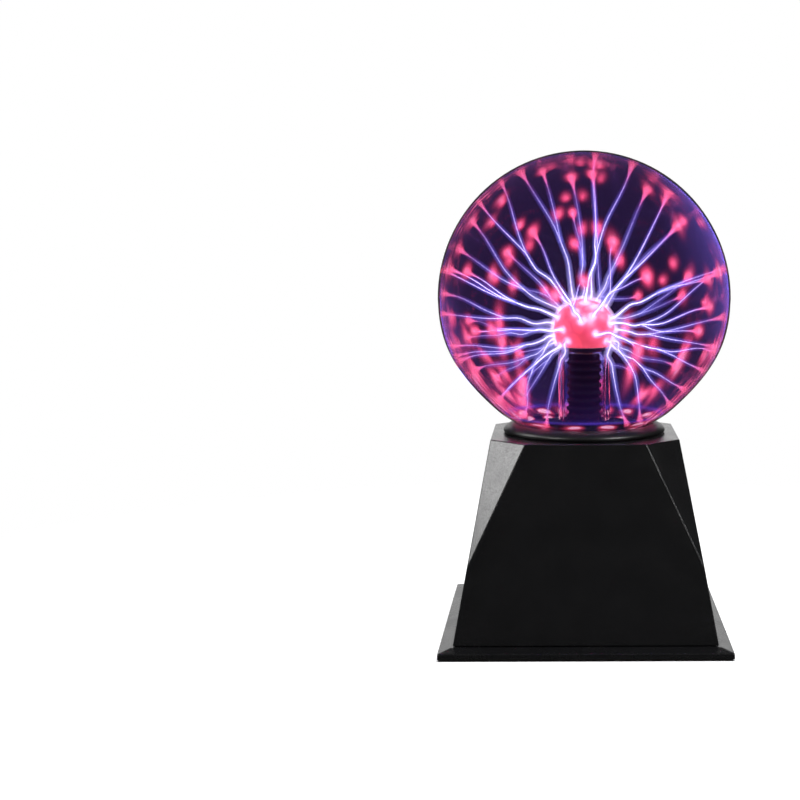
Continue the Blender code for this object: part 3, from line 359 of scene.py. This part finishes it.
def lathe(name, profile, segments, mat):
    """Revolve a closed loop of (radius, height) about the axis and shade it smooth."""
    bm = bmesh.new()
    rows = []
    for radius, height in profile:
        if radius < 1e-7:
            rows.append([bm.verts.new((0, 0, height))])
        else:
            rows.append(ring(bm, radius, height, segments))
    for lower, upper in zip(rows, rows[1:] + rows[:1]):
        if len(lower) == 1 and len(upper) == 1:
            continue
        for i in range(segments):
            j = (i + 1) % segments
            if len(lower) == 1:
                bm.faces.new((lower[0], upper[j], upper[i]))
            elif len(upper) == 1:
                bm.faces.new((lower[i], lower[j], upper[0]))
            else:
                bm.faces.new((lower[i], lower[j], upper[j], upper[i]))
    bmesh.ops.recalc_face_normals(bm, faces=bm.faces)
    mesh = bpy.data.meshes.new(name)
    bm.to_mesh(mesh)
    bm.free()
    mesh.shade_smooth()
    mesh.set_sharp_from_angle(angle=math.radians(50))
    obj = bpy.data.objects.new(name, mesh)
    bpy.context.scene.collection.objects.link(obj)
    mesh.materials.append(mat)
    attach(obj, BASE)
    return obj


def curve(points, steps):
    """Catmull-Rom points through the given ones."""
    pts = [2 * points[0] - points[1]] + points + [2 * points[-1] - points[-2]]
    out = []
    for a, b, c, d in zip(pts, pts[1:], pts[2:], pts[3:]):
        for s in range(steps):
            t = s / steps
            square, cube = 2 * a - 5 * b + 4 * c - d, 3 * b - a - 3 * c + d
            out.append(0.5 * (2 * b + (c - a) * t + square * t**2 + cube * t**3))
    out.append(points[-1].copy())
    return out


def smooth_line(points, steps):
    """The same for (radius, height) pairs."""
    return [(max(p.x, 0.0), p.y) for p in curve([Vector((*p, 0)) for p in points], steps)]


def sideways(points, distance):
    """Move an open outline towards the axis side."""
    out = []
    for k, (r, z) in enumerate(points):
        r0, z0 = points[max(k - 1, 0)]
        r1, z1 = points[min(k + 1, len(points) - 1)]
        size = math.hypot(r1 - r0, z1 - z0)
        out.append((max(r + distance * (z1 - z0) / size, 0.0), z - distance * (r1 - r0) / size))
    return out


def globe_outline():
    """The glass's outer side from the crown to the neck's rim."""
    c = GLOBE_CENTRE.z
    crown = []
    for i in range(31):
        a = math.radians(90 - 3 * i)
        crown.append((GLOBE_RADIUS * math.cos(a) if i else 0.0, c + GLOBE_RADIUS * math.sin(a)))
    lower = [
        (75.0, 0), (74.3, -10.0), (72.2, -20.0), (68.6, -29.0), (63.4, -37.5), (57.0, -45.5),
        (49.8, -53.0), (43.6, -58.6), (38.4, -62.2), (34.6, -64.4), (32.4, -66.2), (31.0, -68.4),
        (30.3, -71.0), (30.0, -74.5),
    ]
    lower = smooth_line([(r * MM, c + h * MM) for r, h in lower], 4)
    return crown + lower[1:] + [(NECK_RADIUS, GLOBE_LOW[2])]


def globe(mat):
    outer = globe_outline()
    inner = sideways(outer, GLOBE_WALL)
    inner[0] = (0.0, outer[0][1] - GLOBE_WALL)
    inner[-1] = (inner[-2][0], GLOBE_LOW[2])
    obj = lathe("globe_glass", outer + inner[::-1], 144, mat)
    obj.visible_shadow = False
    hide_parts("glass_globe")


def stem(mat):
    """Clear tube that flares out below to close the neck."""
    rim, low, top = STEM_HIGH[0], STEM_LOW[2], STEM_HIGH[2]
    outer = [
        (rim, low + 1.6 * MM), (24.5 * MM, low + 4.6 * MM), (20.0 * MM, low + 8.4 * MM),
        (16.4 * MM, low + 13.4 * MM), (14.2 * MM, low + 19.0 * MM), (13.1 * MM, low + 25.0 * MM),
        (STEM_RADIUS, low + 31.0 * MM), (STEM_RADIUS, low + 53.0 * MM), (STEM_RADIUS, top),
    ]
    smooth = [(rim, low)] + smooth_line(outer, 4)
    inner = sideways(smooth, STEM_WALL)
    inner[0] = (rim - 2.4 * MM, low)
    inner[1] = (rim - 3.0 * MM, low + 0.7 * MM)
    inner[-1] = (STEM_RADIUS - STEM_WALL, top)
    obj = lathe("stem_glass", smooth + inner[::-1], 96, mat)
    obj.visible_shadow = False
    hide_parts("stem_tube")


def sleeve(mat):
    """Black sleeve with a rounded ridge on every pitch."""
    low, top = SLEEVE_LOW[2], SLEEVE_HIGH[2]
    valley, shoulder = 8.0 * MM, 8.75 * MM
    ridge = (
        (0.0, SLEEVE_GROOVE), (0.16, valley), (0.3, shoulder), (0.42, SLEEVE_RIDGE), (0.58, SLEEVE_RIDGE),
        (0.7, shoulder), (0.84, valley),
    )
    outline = [(SLEEVE_BORE, low), (SLEEVE_GROOVE, low)]
    z = low + SLEEVE_PITCH / 2
    while z + SLEEVE_PITCH < top:
        outline += [(radius, z + share * SLEEVE_PITCH) for share, radius in ridge]
        z += SLEEVE_PITCH
    outline += [(SLEEVE_GROOVE, top), (SLEEVE_BORE, top)]
    obj = lathe("ridged_sleeve", outline, 48, mat)
    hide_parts("insulating_sleeve")


def collar(mat):
    low, high = TOWER_HIGH[2] + 0.3 * MM, COLLAR_HIGH[2]
    out, inn = COLLAR_HIGH[0], COLLAR_INNER
    rounded = smooth_line([
        (out - 0.5 * MM, low), (out, low + 0.7 * MM), (out, low + 1.5 * MM), (out - 0.6 * MM, low + 2.5 * MM),
        (out - 1.8 * MM, low + 3.5 * MM), (out - 3.4 * MM, low + 4.2 * MM), (out - 5.2 * MM, high),
        (inn + 2.2 * MM, high), (inn + 1.1 * MM, high - 0.5 * MM), (inn + 0.1 * MM, high - 1.7 * MM),
    ], 4)
    obj = lathe("collar", [(inn, low)] + rounded, 144, mat)
    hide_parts("collar_ring")
    return obj


def ball_material():
    """Glass lit red by the gas on it: mottled coral, deeper in places."""
    mat, tree, shader = new_material("electrode_glow")
    shader.inputs["Base Color"].default_value = (0.30, 0.02, 0.03, 1)
    shader.inputs["Roughness"].default_value = 0.25
    patches = spread(tree, noise(tree, 90, 3.0, 0.6), 0, 1, 0.38, 0.60)
    colour = blend_colour(tree, patches, (0.85, 0.002, 0.008), (1.0, 0.018, 0.035))
    link(tree, colour, shader.inputs["Emission Color"])
    shader.inputs["Emission Strength"].default_value = 2.5
    bump(tree, shader, noise(tree, 160, 2.0), 0.2, 0.0002)
    mat.cycles.emission_sampling = "NONE"
    return mat


def ball_side(radius, opening):
    """Outline of a ball from the edge of a round opening below to the top."""
    start = -math.acos(opening / radius)
    out = []
    for i in range(41):
        a = start + (TAU / 4 - start) * i / 40
        out.append((radius * math.cos(a) if i < 40 else 0.0, BALL_CENTRE.z + radius * math.sin(a)))
    return out


def electrode(mat):
    outer = ball_side(BALL_RADIUS, STEM_RADIUS)
    inner = ball_side(BALL_RADIUS - BALL_WALL, STEM_RADIUS - BALL_WALL)
    obj = lathe("electrode_ball", outer + inner[::-1], 96, mat)
    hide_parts("electrode_bulb")


# Light in the gas


class Glow:
    """Collects shapes whose points each carry a colour and a density."""

    def __init__(self):
        self.points, self.faces, self.colours = [], [], []

    def tube(self, path, radii, colours, sides=7):
        """colours holds (r, g, b, density) for each point of the path."""
        start = len(self.points)
        tangent = (path[1] - path[0]).normalized()
        side = tangent.orthogonal().normalized()
        for k, point in enumerate(path):
            tangent = (path[min(k + 1, len(path) - 1)] - path[max(k - 1, 0)]).normalized()
            side = (side - side.dot(tangent) * tangent).normalized()
            other = tangent.cross(side)
            for i in range(sides):
                a = TAU * i / sides
                self.points.append(tuple(point + radii[k] * (math.cos(a) * side + math.sin(a) * other)))
                self.colours.append(colours[k])
        for k in range(len(path) - 1):
            for i in range(sides):
                j = (i + 1) % sides
                a, b = start + k * sides, start + (k + 1) * sides
                self.faces.append((a + i, a + j, b + j, b + i))

    def sheet(self, rows, colours):
        """A grid of points."""
        start = len(self.points)
        wide = len(rows[0])
        for row, tint in zip(rows, colours):
            self.points += row
            self.colours += tint
        for k in range(len(rows) - 1):
            for i in range(wide - 1):
                a = start + k * wide + i
                self.faces.append((a, a + 1, a + wide + 1, a + wide))

    def build(self, name, mat):
        mesh = bpy.data.meshes.new(name)
        mesh.from_pydata(self.points, [], self.faces)
        own = mesh.attributes.new("glow", "FLOAT_COLOR", "POINT")
        own.data.foreach_set("color", np.asarray(self.colours, np.float32).ravel())
        mesh.shade_smooth()
        obj = bpy.data.objects.new(name, mesh)
        bpy.context.scene.collection.objects.link(obj)
        mesh.materials.append(mat)
        obj.visible_shadow = False
        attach(obj, BASE)


HEADINGS_TRIED = 44  # some are left out: see headings
LOW_STRANDS = 6
STRAY_SPOTS_TRIED = 104  # some are left out: see plasma
SMALL_ROOTS = 16
GAP = GLOBE_WALL + 0.3 * MM
INNER = GLOBE_RADIUS - GAP
LOWEST_FOOT = GLOBE_CENTRE.z - 63.5 * MM
FAR = 0.12  # past the glass in every direction from the ball
WALL_LINE = sideways(globe_outline(), GAP)[::-1]


def wall_radius(z):
    """How far the glass's inner side is from the axis at a height."""
    h = z - GLOBE_CENTRE.z
    if h >= 0:
        return math.sqrt(max(INNER**2 - h**2, 0.0))
    return float(np.interp(z, [p[1] for p in WALL_LINE], [p[0] for p in WALL_LINE]))


def wall_hit(direction):
    """Where a straight line from the ball meets the glass."""
    low, high = 0.0, FAR
    for _ in range(30):  # halved every time
        mid = (low + high) / 2
        p = BALL_CENTRE + direction * mid
        inside = math.hypot(p.x, p.y) < wall_radius(p.z) and p.z < GLOBE_CENTRE.z + INNER
        low, high = (mid, high) if inside else (low, mid)
    p = BALL_CENTRE + direction * low
    p.z = max(p.z, LOWEST_FOOT)
    return p


def inward(p):
    """The way from a point on the wall towards the globe's middle."""
    return (GLOBE_CENTRE - p).normalized()


def wander(size):
    return Vector((rng.uniform(-1, 1), rng.uniform(-1, 1), rng.uniform(-1, 1))) * size


def ramp(stops, t):
    """Values between (place, values) stops."""
    where = [s[0] for s in stops]
    return [float(np.interp(t, where, [s[1][i] for s in stops])) for i in range(len(stops[0][1]))]


CORE = [
    (0.0, (1.0, 0.95, 1.0, 1.0)), (0.35, (0.97, 0.95, 1.0, 1.0)), (0.55, (0.84, 0.78, 1.0, 0.8)),
    (0.8, (0.74, 0.58, 1.0, 0.5)), (0.94, (0.95, 0.4, 0.7, 0.4)), (1.0, (1.0, 0.25, 0.35, 0.1)),
]
HALO = [
    (0.0, (0.90, 0.70, 1.0, 0.12)), (0.10, (0.56, 0.52, 1.0, 0.085)), (0.4, (0.30, 0.29, 1.0, 0.055)),
    (0.75, (0.30, 0.20, 1.0, 0.034)), (0.93, (0.7, 0.12, 0.5, 0.016)), (1.0, (0.9, 0.1, 0.2, 0.0)),
]
FLARE = [
    (0.0, (0.9, 0.2, 0.6, 0.0)), (0.35, (1.0, 0.16, 0.36, 0.08)), (0.8, (1.0, 0.14, 0.24, 0.15)),
    (1.0, (1.0, 0.10, 0.18, 0.05)),
]
SHELLS = 7
SHARES = [((k + 1) / SHELLS) ** 1.4 for k in range(SHELLS)]


def far_share(p):
    """0 at the ball's surface, 1 at the glass, along a line from the ball."""
    gap = (p - BALL_CENTRE).length
    reach = (wall_hit((p - BALL_CENTRE).normalized()) - BALL_CENTRE).length
    return min(max((gap - BALL_RADIUS) / (reach - BALL_RADIUS), 0.0), 1.0)


def filament(cores, halos, path, power, blur, root):
    """One strand: a thin bright core in nested soft shells. power dims it and blur widens it."""
    shares = [far_share(p) for p in path]
    core_r, core_c, halo_r, halo_c = [], [], [], []
    for t in shares:
        swell = 1 + (1.2 * math.exp(-t / 0.05) if root else 0.0)
        core_r.append((0.17 + 0.24 * math.exp(-t / 0.4)) * MM * swell * (0.5 + 0.5 * power))
        halo_r.append((1.8 - 0.5 * t) * MM * (1 + 0.3 * (swell - 1)) * blur)
        r, g, b, a = ramp(CORE, t)
        core_c.append((r, g, b, a * power))
        r, g, b, a = ramp(HALO, t)
        halo_c.append((r, g, b, a * (0.5 + 0.5 * power)))
    if root:
        gaps = [(p - path[0]).length / (2.5 * MM) for p in path]
        core_c = [(r, g, b, a * min(gap, 1.0)) for (r, g, b, a), gap in zip(core_c, gaps)]
    cores.tube(path, core_r, core_c, 6)
    for share in SHARES:
        halos.tube(path, [r * share for r in halo_r], halo_c, 8)


def flare(trumpets, path, width, power):
    """The strand's end opens like a trumpet on the glass."""
    tail = path[-7:]
    n = len(tail) - 1
    for share in SHARES:
        radii, tints = [], []
        for i in range(n + 1):
            t = i / n
            radii.append((0.5 * MM + width * t**2.2) * share)
            r, g, b, a = ramp(FLARE, t)
            tints.append((r, g, b, a * power))
        trumpets.tube(tail, radii, tints, 12)


def headings(count):
    """Directions spread evenly round the ball, without those that would hit the stem or hide it."""
    out = []
    for k in range(count):
        rise = 1 - 2 * (k + 0.5) / count
        turn = k * math.pi * (3 - math.sqrt(5)) + rng.uniform(-0.2, 0.2)
        rise = max(min(rise + rng.uniform(-0.05, 0.05), 0.98), -1.0)
        flat = math.sqrt(1 - rise**2)
        heading = Vector((flat * math.cos(turn), flat * math.sin(turn), rise))
        if rise > -0.64 and not (rise < -0.15 and heading.y < -0.5):
            out.append(heading)
    return out


def bowed(a, b, share, bow, low=0.0):
    """A point on the line from a to b, pushed sideways along an arc that started at low."""
    whole = low + (1 - low) * share
    return a.lerp(b, share) + bow * (math.sin(math.pi * whole) - math.sin(math.pi * low) * (1 - share))


def strand(glows, roots, feet, heading, landing, forks, power, blur):
    """A trunk from the ball that forks on its way to the glass."""
    cores, halos, trumpets = glows
    start = BALL_CENTRE + heading * (BALL_RADIUS - 0.2 * MM)
    start.z = max(start.z, BALL_CENTRE.z - 0.45 * BALL_RADIUS)
    roots.append(BALL_CENTRE + (start - BALL_CENTRE).normalized() * BALL_RADIUS)
    end = wall_hit(landing)
    bow = wander(1.0).cross(landing).normalized() * rng.uniform(1.5, 5.5) * MM
    part = rng.uniform(0.28, 0.5)
    split = bowed(start, end, part, bow)
    loose = (split - start).length * 0.045
    leave = start + heading * 4 * MM
    near = bowed(start, end, part * 0.45, bow) + wander(loose)
    middle = bowed(start, end, part * 0.72, bow) + wander(loose)
    trunk = curve([start, leave, near, middle, split], 5)
    filament(cores, halos, trunk, power, blur, True)
    swing = rng.uniform(9, 17)
    across = wander(1.0).cross(landing).normalized()
    for f in range(forks):
        turn = (f - (forks - 1) / 2) * swing + rng.uniform(-2, 2)
        foot = wall_hit((Matrix.Rotation(math.radians(turn), 4, across) @ landing).normalized())
        early = bowed(split, foot, 0.3, bow, part) + wander(0.7 * MM)
        late = bowed(split, foot, 0.68, bow, part) + wander(1.3 * MM)
        path = curve([trunk[-4], split, early, late.lerp(foot + inward(foot) * 10 * MM, 0.3), foot], 7)[7:]
        own = power * rng.uniform(0.55, 1.0)
        filament(cores, halos, path, own, blur, False)
        flare(trumpets, path, rng.uniform(1.4, 3.0) * MM, rng.uniform(0.75, 1.0))
        feet.append((foot, rng.uniform(0.75, 1.0)))


def plasma():
    """All strands, and stray spots on the glass except near the middle of its front and back."""
    glows = Glow(), Glow(), Glow()
    roots, feet = [], []
    for heading in headings(HEADINGS_TRIED):
        front = min(max(0.5 - 1.3 * heading.y, 0.0), 1.0)
        power = 0.30 + 0.70 * front * rng.uniform(0.8, 1.0)
        forks = rng.choice((1, 2, 2, 3))
        strand(glows, roots, feet, heading, heading, forks, power, 1.2 - 0.3 * front)
    for k in range(LOW_STRANDS):
        turn = TAU * (k + rng.uniform(-0.3, 0.3)) / LOW_STRANDS
        heading = Vector((math.cos(turn), math.sin(turn), -0.35)).normalized()
        landing = Vector((math.cos(turn), math.sin(turn), rng.uniform(-1.9, -1.3))).normalized()
        strand(glows, roots, feet, heading, landing, 1, 0.4, 1.1)
    for _ in range(STRAY_SPOTS_TRIED):
        turn, rise = rng.uniform(0, TAU), rng.uniform(-0.85, 0.97)
        flat = math.sqrt(1 - rise**2)
        heading = Vector((flat * math.cos(turn), flat * math.sin(turn), rise))
        if -0.5 < heading.y < 0.84:
            feet.append((wall_hit(heading), rng.uniform(0.45, 0.95)))
    cores, halos, trumpets = glows
    cores.build("plasma_cores", gas_glow("plasma_core_light", 6.0))
    halos.build("plasma_halos", gas_glow("plasma_halo_light", 3.0))
    trumpets.build("plasma_flares", gas_glow("plasma_flare_light", 4.6))
    return roots, feet


def wall_rows(depth, low, high, tall, around):
    """A grid of points that follows the glass's inner side, depth in from it, between two heights."""
    z = np.linspace(high, low, tall + 1)
    r = np.array([wall_radius(v) for v in z])
    turn = np.linspace(0, TAU, around + 1)
    grid = np.zeros((tall + 1, around + 1, 3))
    grid[..., 0] = r[:, None] * np.cos(turn)
    grid[..., 1] = r[:, None] * np.sin(turn)
    grid[..., 2] = z[:, None]
    inwards = np.array(GLOBE_CENTRE) - grid
    inwards /= np.linalg.norm(inwards, axis=2, keepdims=True)
    return grid + inwards * depth, inwards


def spot_heat(grid, inwards, feet, squeeze):
    """How much soft light the spots give each point; the lower ones are drawn out upwards."""
    across = np.cross(inwards, (0.0, 0.0, 1.0))
    across /= np.maximum(np.linalg.norm(across, axis=2, keepdims=True), 1e-6)
    along = np.cross(across, inwards)
    heat = np.zeros(grid.shape[:2])
    for foot, power in feet:
        gap = grid - np.array(foot)
        a = (gap * along).sum(axis=2)
        b = (gap * across).sum(axis=2)
        away = (gap * inwards).sum(axis=2)
        turn = rng.uniform(-0.5, 0.5)
        low = 1 if foot.z < GLOBE_CENTRE.z - 15 * MM else 0
        long = (rng.uniform(1.9, 4.2) + low * rng.uniform(1.0, 5.0)) * MM * squeeze
        short = rng.uniform(1.4, 2.4) * MM * squeeze
        u = a * math.cos(turn) + b * math.sin(turn)
        v = b * math.cos(turn) - a * math.sin(turn)
        heat += power * np.exp(-((u / long) ** 2) - (v / short) ** 2 - (away / (9 * MM)) ** 2)
    return np.minimum(heat, 1.0)


def wall_glow(feet):
    """Soft pink spots where the strands reach the glass, on three sheets that follow its inner side."""
    glow = Glow()
    low, high = GLOBE_CENTRE.z - 64 * MM, GLOBE_CENTRE.z + 0.999 * INNER
    for depth, gain, squeeze in ((0.0, 0.45, 1.3), (1.2, 0.8, 0.95), (2.4, 0.8, 0.66)):
        grid, inwards = wall_rows(depth * MM, low, high, 150, 260)
        heat = spot_heat(grid, inwards, feet, squeeze)
        green, blue = 0.08 + 0.27 * heat**3, 0.17 + 0.33 * heat**3
        tint = np.stack([np.ones_like(heat), green, blue, gain * heat], axis=2)
        glow.sheet(grid.tolist(), tint.tolist())
    glow.build("plasma_wall_glow", gas_glow("plasma_wall_light", 4.6))


def haze():
    """Light pooled low in the globe, where the glass turns in to the neck."""
    glow = Glow()
    base_drops, base_levels = (35, 50, 57, 58.6, 59.6, 61), (0.0, 0.01, 0.02, 0.06, 0.26, 0.01)
    pool_drops, pool_levels = (59.6, 61.5, 65, 66), (0, 1.0, 0.9, 0.6)
    waves = [(rng.randint(3, 9), rng.uniform(0, TAU)) for _ in range(4)]
    quick = [(rng.randint(6, 17), rng.uniform(0, TAU)) for _ in range(4)]
    low, high = GLOBE_CENTRE.z - 66 * MM, GLOBE_CENTRE.z - 30 * MM
    grid, _ = wall_rows(0.4 * MM, low, high, 110, 220)
    tints = []
    for row in grid:
        tint = []
        drop = (GLOBE_CENTRE.z - row[0][2]) / MM
        for j in range(len(row)):
            turn = TAU * j / (len(row) - 1)
            slow = 0.5 + sum(math.cos(k * turn + s) for k, s in waves) / 8
            fast = 0.5 + sum(math.cos(k * turn + s) for k, s in quick) / 8
            base = float(np.interp(drop, base_drops, base_levels))
            pool = float(np.interp(drop, pool_drops, pool_levels))
            streak = 0.5 + 0.5 * math.cos(TAU * drop / 3.4 + 5 * slow + 3 * fast)
            red = pool * max(0.0, 2.4 * fast - 0.7) * (0.3 + 0.7 * streak)
            red = min(2.1 * (red * (0.45 + 0.9 * slow)) ** 1.7, 1.0)
            share = red / max(red + base, 1e-6)
            alpha = min(base * (0.4 + 0.8 * slow) + 0.8 * red, 1.0)
            hot = max(red - 0.6, 0.0)
            tint.append((0.22 + 0.78 * share, 0.11 - 0.04 * share + hot, 1.0 - 0.86 * share + hot, alpha))
        tints.append(tint)
    glow.sheet(grid.tolist(), tints)
    glow.build("plasma_haze", gas_glow("plasma_haze_light", 3.2))


def gas_profile(near, thick):
    """A closed outline that follows the glass's inner side, near from it and so thick."""
    heights = [INNER * math.cos(math.radians(3 * i)) for i in range(31)]
    heights += [-k * 3 * MM for k in range(1, 21)]
    heights = [GLOBE_CENTRE.z + h for h in heights]
    line = [(0.0, heights[0])] + [(wall_radius(z), z) for z in heights[1:]]
    outer, inner = sideways(line, near), sideways(line, near + thick)
    outer[0] = (0.0, line[0][1] - near)
    inner[0] = (0.0, line[0][1] - near - thick)
    return outer + inner[::-1]


def painted_rim_glow_cap(name, direction, half_angle):
    """Painted reflection: a patch of violet glow on the glass round one direction, thinner towards its edge,
    standing in for the plasma reflected in the glass rim.
    """
    low, thick, steps = INNER - 0.75 * MM, 0.65 * MM, 24
    outer, inner = [], []
    for i in range(steps + 1):
        a = math.radians(half_angle) * i / steps
        high = low + thick * math.cos(math.pi / 2 * i / (steps + 0.5))
        outer.append((high * math.sin(a), high * math.cos(a)))
        inner.append((low * math.sin(a), low * math.cos(a)))
    obj = lathe(name, outer + inner[::-1], 72, gas_and_painted_glow_volume(name + "_light", (0.30, 0.23, 1.0), 135))
    turned = Vector(direction).to_track_quat("Z", "Y").to_matrix().to_4x4()
    obj.data.transform(Matrix.Translation(GLOBE_CENTRE) @ turned)
    obj.visible_shadow = False


def gas_shells():
    """Gas lying against the glass: a thin violet layer, which is faint gas light and also a painted rim glow
    standing in for the plasma reflected in the glass rim, and a thicker pink one.
    """
    layers = [
        # the thin violet layer: faint gas light and also painted rim glow for the plasma reflected in the
        # glass rim
        ("gas_violet_and_painted_rim_glow", 0.12, 0.6, (0.30, 0.20, 1.0), 20),
        ("gas_pink", 0.3, 2.2, (0.95, 0.13, 0.45), 3.4),
    ]
    for name, near, thick, colour, strength in layers:
        mat = gas_and_painted_glow_volume(name + "_light", colour, strength)
        obj = lathe(name, gas_profile(near * MM, thick * MM), 96, mat)
        obj.visible_shadow = False


def ball_film():
    """Film of bright gas round the ball."""
    outline = [(0.0, BALL_CENTRE.z - 0.5 * FILM_RADIUS)]
    for i in range(25):
        a = math.radians(-30 + 5 * i)
        across = FILM_RADIUS * math.cos(a) if i < 24 else 0.0
        outline.append((across, BALL_CENTRE.z + FILM_RADIUS * math.sin(a)))
    obj = lathe("electrode_film", outline, 64, gas_and_painted_glow_volume("electrode_film_light", (1.0, 0.66, 0.84), 150))
    obj.visible_shadow = False


def ball_skin(roots):
    """Hot patches where the strands leave the ball, small extra ones, and darker creases between."""
    glow = Glow()
    radius = BALL_RADIUS + 0.25 * MM
    low = -math.acos(STEM_RADIUS / BALL_RADIUS) + 0.02
    power = np.array([1.0] * len(roots) + [0.3] * SMALL_ROOTS)[:, None, None]
    for _ in range(SMALL_ROOTS):
        way = Vector((rng.uniform(-1, 1), rng.uniform(-1, 1), rng.uniform(-0.2, 1))).normalized()
        roots.append(BALL_CENTRE + way * BALL_RADIUS)
    v = np.linspace(math.pi / 2 - 0.01, low, 81)
    u = np.linspace(0, TAU, 161)
    x, y = np.outer(np.cos(v), np.cos(u)), np.outer(np.cos(v), np.sin(u))
    z = np.outer(np.sin(v), np.ones_like(u))
    grid = np.stack([x, y, z], axis=2) * radius + np.array(BALL_CENTRE)
    gaps = np.stack([np.linalg.norm(grid - np.array(root), axis=2) for root in roots]) / MM
    heat = (power * (0.6 * np.exp(-(gaps / 1.8) ** 2) + 0.38 * np.exp(-(gaps / 4.6) ** 2))).sum(axis=0)
    nearest = np.sort(gaps, axis=0)[:2]
    crease = np.exp(-((nearest[1] - nearest[0]) / 1.1) ** 2) * np.clip(nearest[0] / 5 - 0.3, 0, 1)
    rise = np.clip((grid[..., 2] - BALL_CENTRE.z) / BALL_RADIUS, 0, 1)
    heat = np.clip((heat + 0.22 * rise**1.5) * (1 - 0.75 * crease), 0, 1)
    alpha = np.clip(0.95 * heat**1.1 + 0.8 * crease, 0, 1)
    tint = np.stack([0.6 + 0.4 * heat, 0.004 + 0.8 * heat**2, 0.012 + 0.85 * heat**1.4, alpha], axis=2)
    glow.sheet(grid.tolist(), tint.tolist())
    glow.build("electrode_skin", gas_glow("electrode_skin_light", 2.9))


def finish_cad_pieces():
    """Better materials for the pieces whose CAD shape is shown as it is."""
    jet = (0.0018, 0.0018, 0.002), (0.0024, 0.0024, 0.0027)
    black = surface("satin_black", *jet, (0.19, 0.26), 1700, 0.00013, specular=(0.45, 1.0))
    plate = surface("plate_black", *jet, (0.23, 0.31), 1700, 0.00013, specular=(0.4, 0.85))
    dark = surface("matt_dark", (0.02, 0.02, 0.021), (0.032, 0.032, 0.034), (0.45, 0.6), 1800, 0.00008)
    rubber = surface("soft_rubber", (0.018, 0.018, 0.019), (0.028, 0.028, 0.03), (0.75, 0.9), 1200, 0.0001)
    steel = surface("plated_steel", (0.48, 0.48, 0.5), (0.62, 0.62, 0.64), (0.22, 0.36), 1500, 0.00003, 1.0)
    brass = surface("turned_brass", (0.6, 0.42, 0.18), (0.78, 0.56, 0.27), (0.22, 0.36), 1500, 0.00003, 1.0)
    alu = surface("drawn_aluminium", (0.6, 0.6, 0.62), (0.78, 0.78, 0.8), (0.3, 0.42), 1700, 0.00003, 1.0)
    ferrite = surface("ferrite", (0.045, 0.045, 0.05), (0.08, 0.08, 0.085), (0.5, 0.7), 900, 0.00012)
    white = surface("moulded_white", (0.62, 0.62, 0.58), (0.72, 0.72, 0.68), (0.35, 0.5), 1200, 0.00006)
    red = surface("red_insulation", (0.4, 0.02, 0.015), (0.52, 0.035, 0.025), (0.35, 0.5), 1300, 0.00005)
    blue = surface("blue_sleeve", (0.03, 0.07, 0.27), (0.05, 0.11, 0.36), (0.25, 0.4), 1300, 0.00004)
    lining = surface("lining_metal", (0.5, 0.46, 0.43), (0.66, 0.62, 0.58), (0.35, 0.5), 1500, 0.00004, 1.0)
    copper = winding("copper_wire", (0.42, 0.16, 0.07), (0.78, 0.36, 0.18), 1400, 0.35, 1.0)
    taped = winding("taped_wire", (0.30, 0.015, 0.012), (0.50, 0.05, 0.03), 700, 0.5, 0.0)
    board = board_material()
    by_name = {
        "tower_shell": black, "base_plate": plate, "switch_rocker": black, "circuit_board": board,
        "flyback_core_lower": ferrite, "flyback_core_upper": ferrite, "flyback_bobbin": white,
        "primary_winding": copper, "secondary_winding": taped, "heat_sink": alu, "microphone": alu,
        "electrode_coating": lining, "contact_rod": brass, "dc_jack_pin": brass, "switch_plunger": brass,
        "switch_lever": brass, "power_wire_red": red, "switch_wire": white, "hv_cable": rubber,
        "stem_bung": rubber, "globe_gasket": rubber, "mic_wire": rubber, "power_wire_black": rubber,
        "contact_spring": steel, "switch_spring": steel, "dc_jack_nut": steel,
    }
    for name, obj in NODES.items():
        if name in by_name:
            mat = by_name[name]
        elif name.startswith("switch_terminal"):
            mat = brass
        elif name.startswith("capacitor"):
            mat = blue
        elif name.startswith("rubber_foot"):
            mat = rubber
        elif "screw" in name:
            mat = steel
        else:
            mat = dark
        for slot in obj.material_slots:
            slot.material = mat


def main():
    scene = bpy.context.scene
    scene.view_settings.view_transform = "Standard"
    scene.view_settings.look = "None"
    scene.cycles.transparent_max_bounces = 160
    scene.cycles.max_bounces = 24
    scene.cycles.transmission_bounces = 20
    scene.cycles.glossy_bounces = 6
    scene.cycles.sample_clamp_indirect = 6.0
    look(CAMERA_PLACE, CAMERA_YAW, CAMERA_PITCH, CAMERA_LENS, CAMERA_SHIFT)
    studio()
    floor()
    finish_cad_pieces()
    globe(clear_glass("globe_glass_wall", (0.36, 0.33, 0.46), 1.46, 0.1, 0.0004))
    stem(clear_glass("stem_glass_wall", (0.6, 0.55, 0.7), 1.2, 0.5, 0.0002))
    sleeve(surface("ridged_rubber", (0.010, 0.010, 0.012), (0.018, 0.018, 0.02), (0.35, 0.5), 1500, 0.00006))
    soot = (0.0028, 0.0028, 0.003), (0.0044, 0.0044, 0.0047)
    rounded_ring = collar(surface("collar_black", *soot, (0.30, 0.37), 1600, 0.0001, specular=(0.25, 0.4)))
    electrode(ball_material())
    roots, feet = plasma()
    wall_glow(feet)
    haze()
    gas_shells()
    # painted rim glow: violet patches standing in for the plasma reflected in the glass rim at the right and
    # lower left
    painted_rim_glow_cap("painted_rim_glow_right", (1.0, 0.0, 0.3), 48)
    painted_rim_glow_cap("painted_rim_glow_left", (-0.92, 0.1, -0.3), 26)
    ball_skin(roots)
    ball_film()
    lights([rounded_ring] + [obj for name, obj in NODES.items() if name not in ("glass_globe", "stem_tube")])


main()
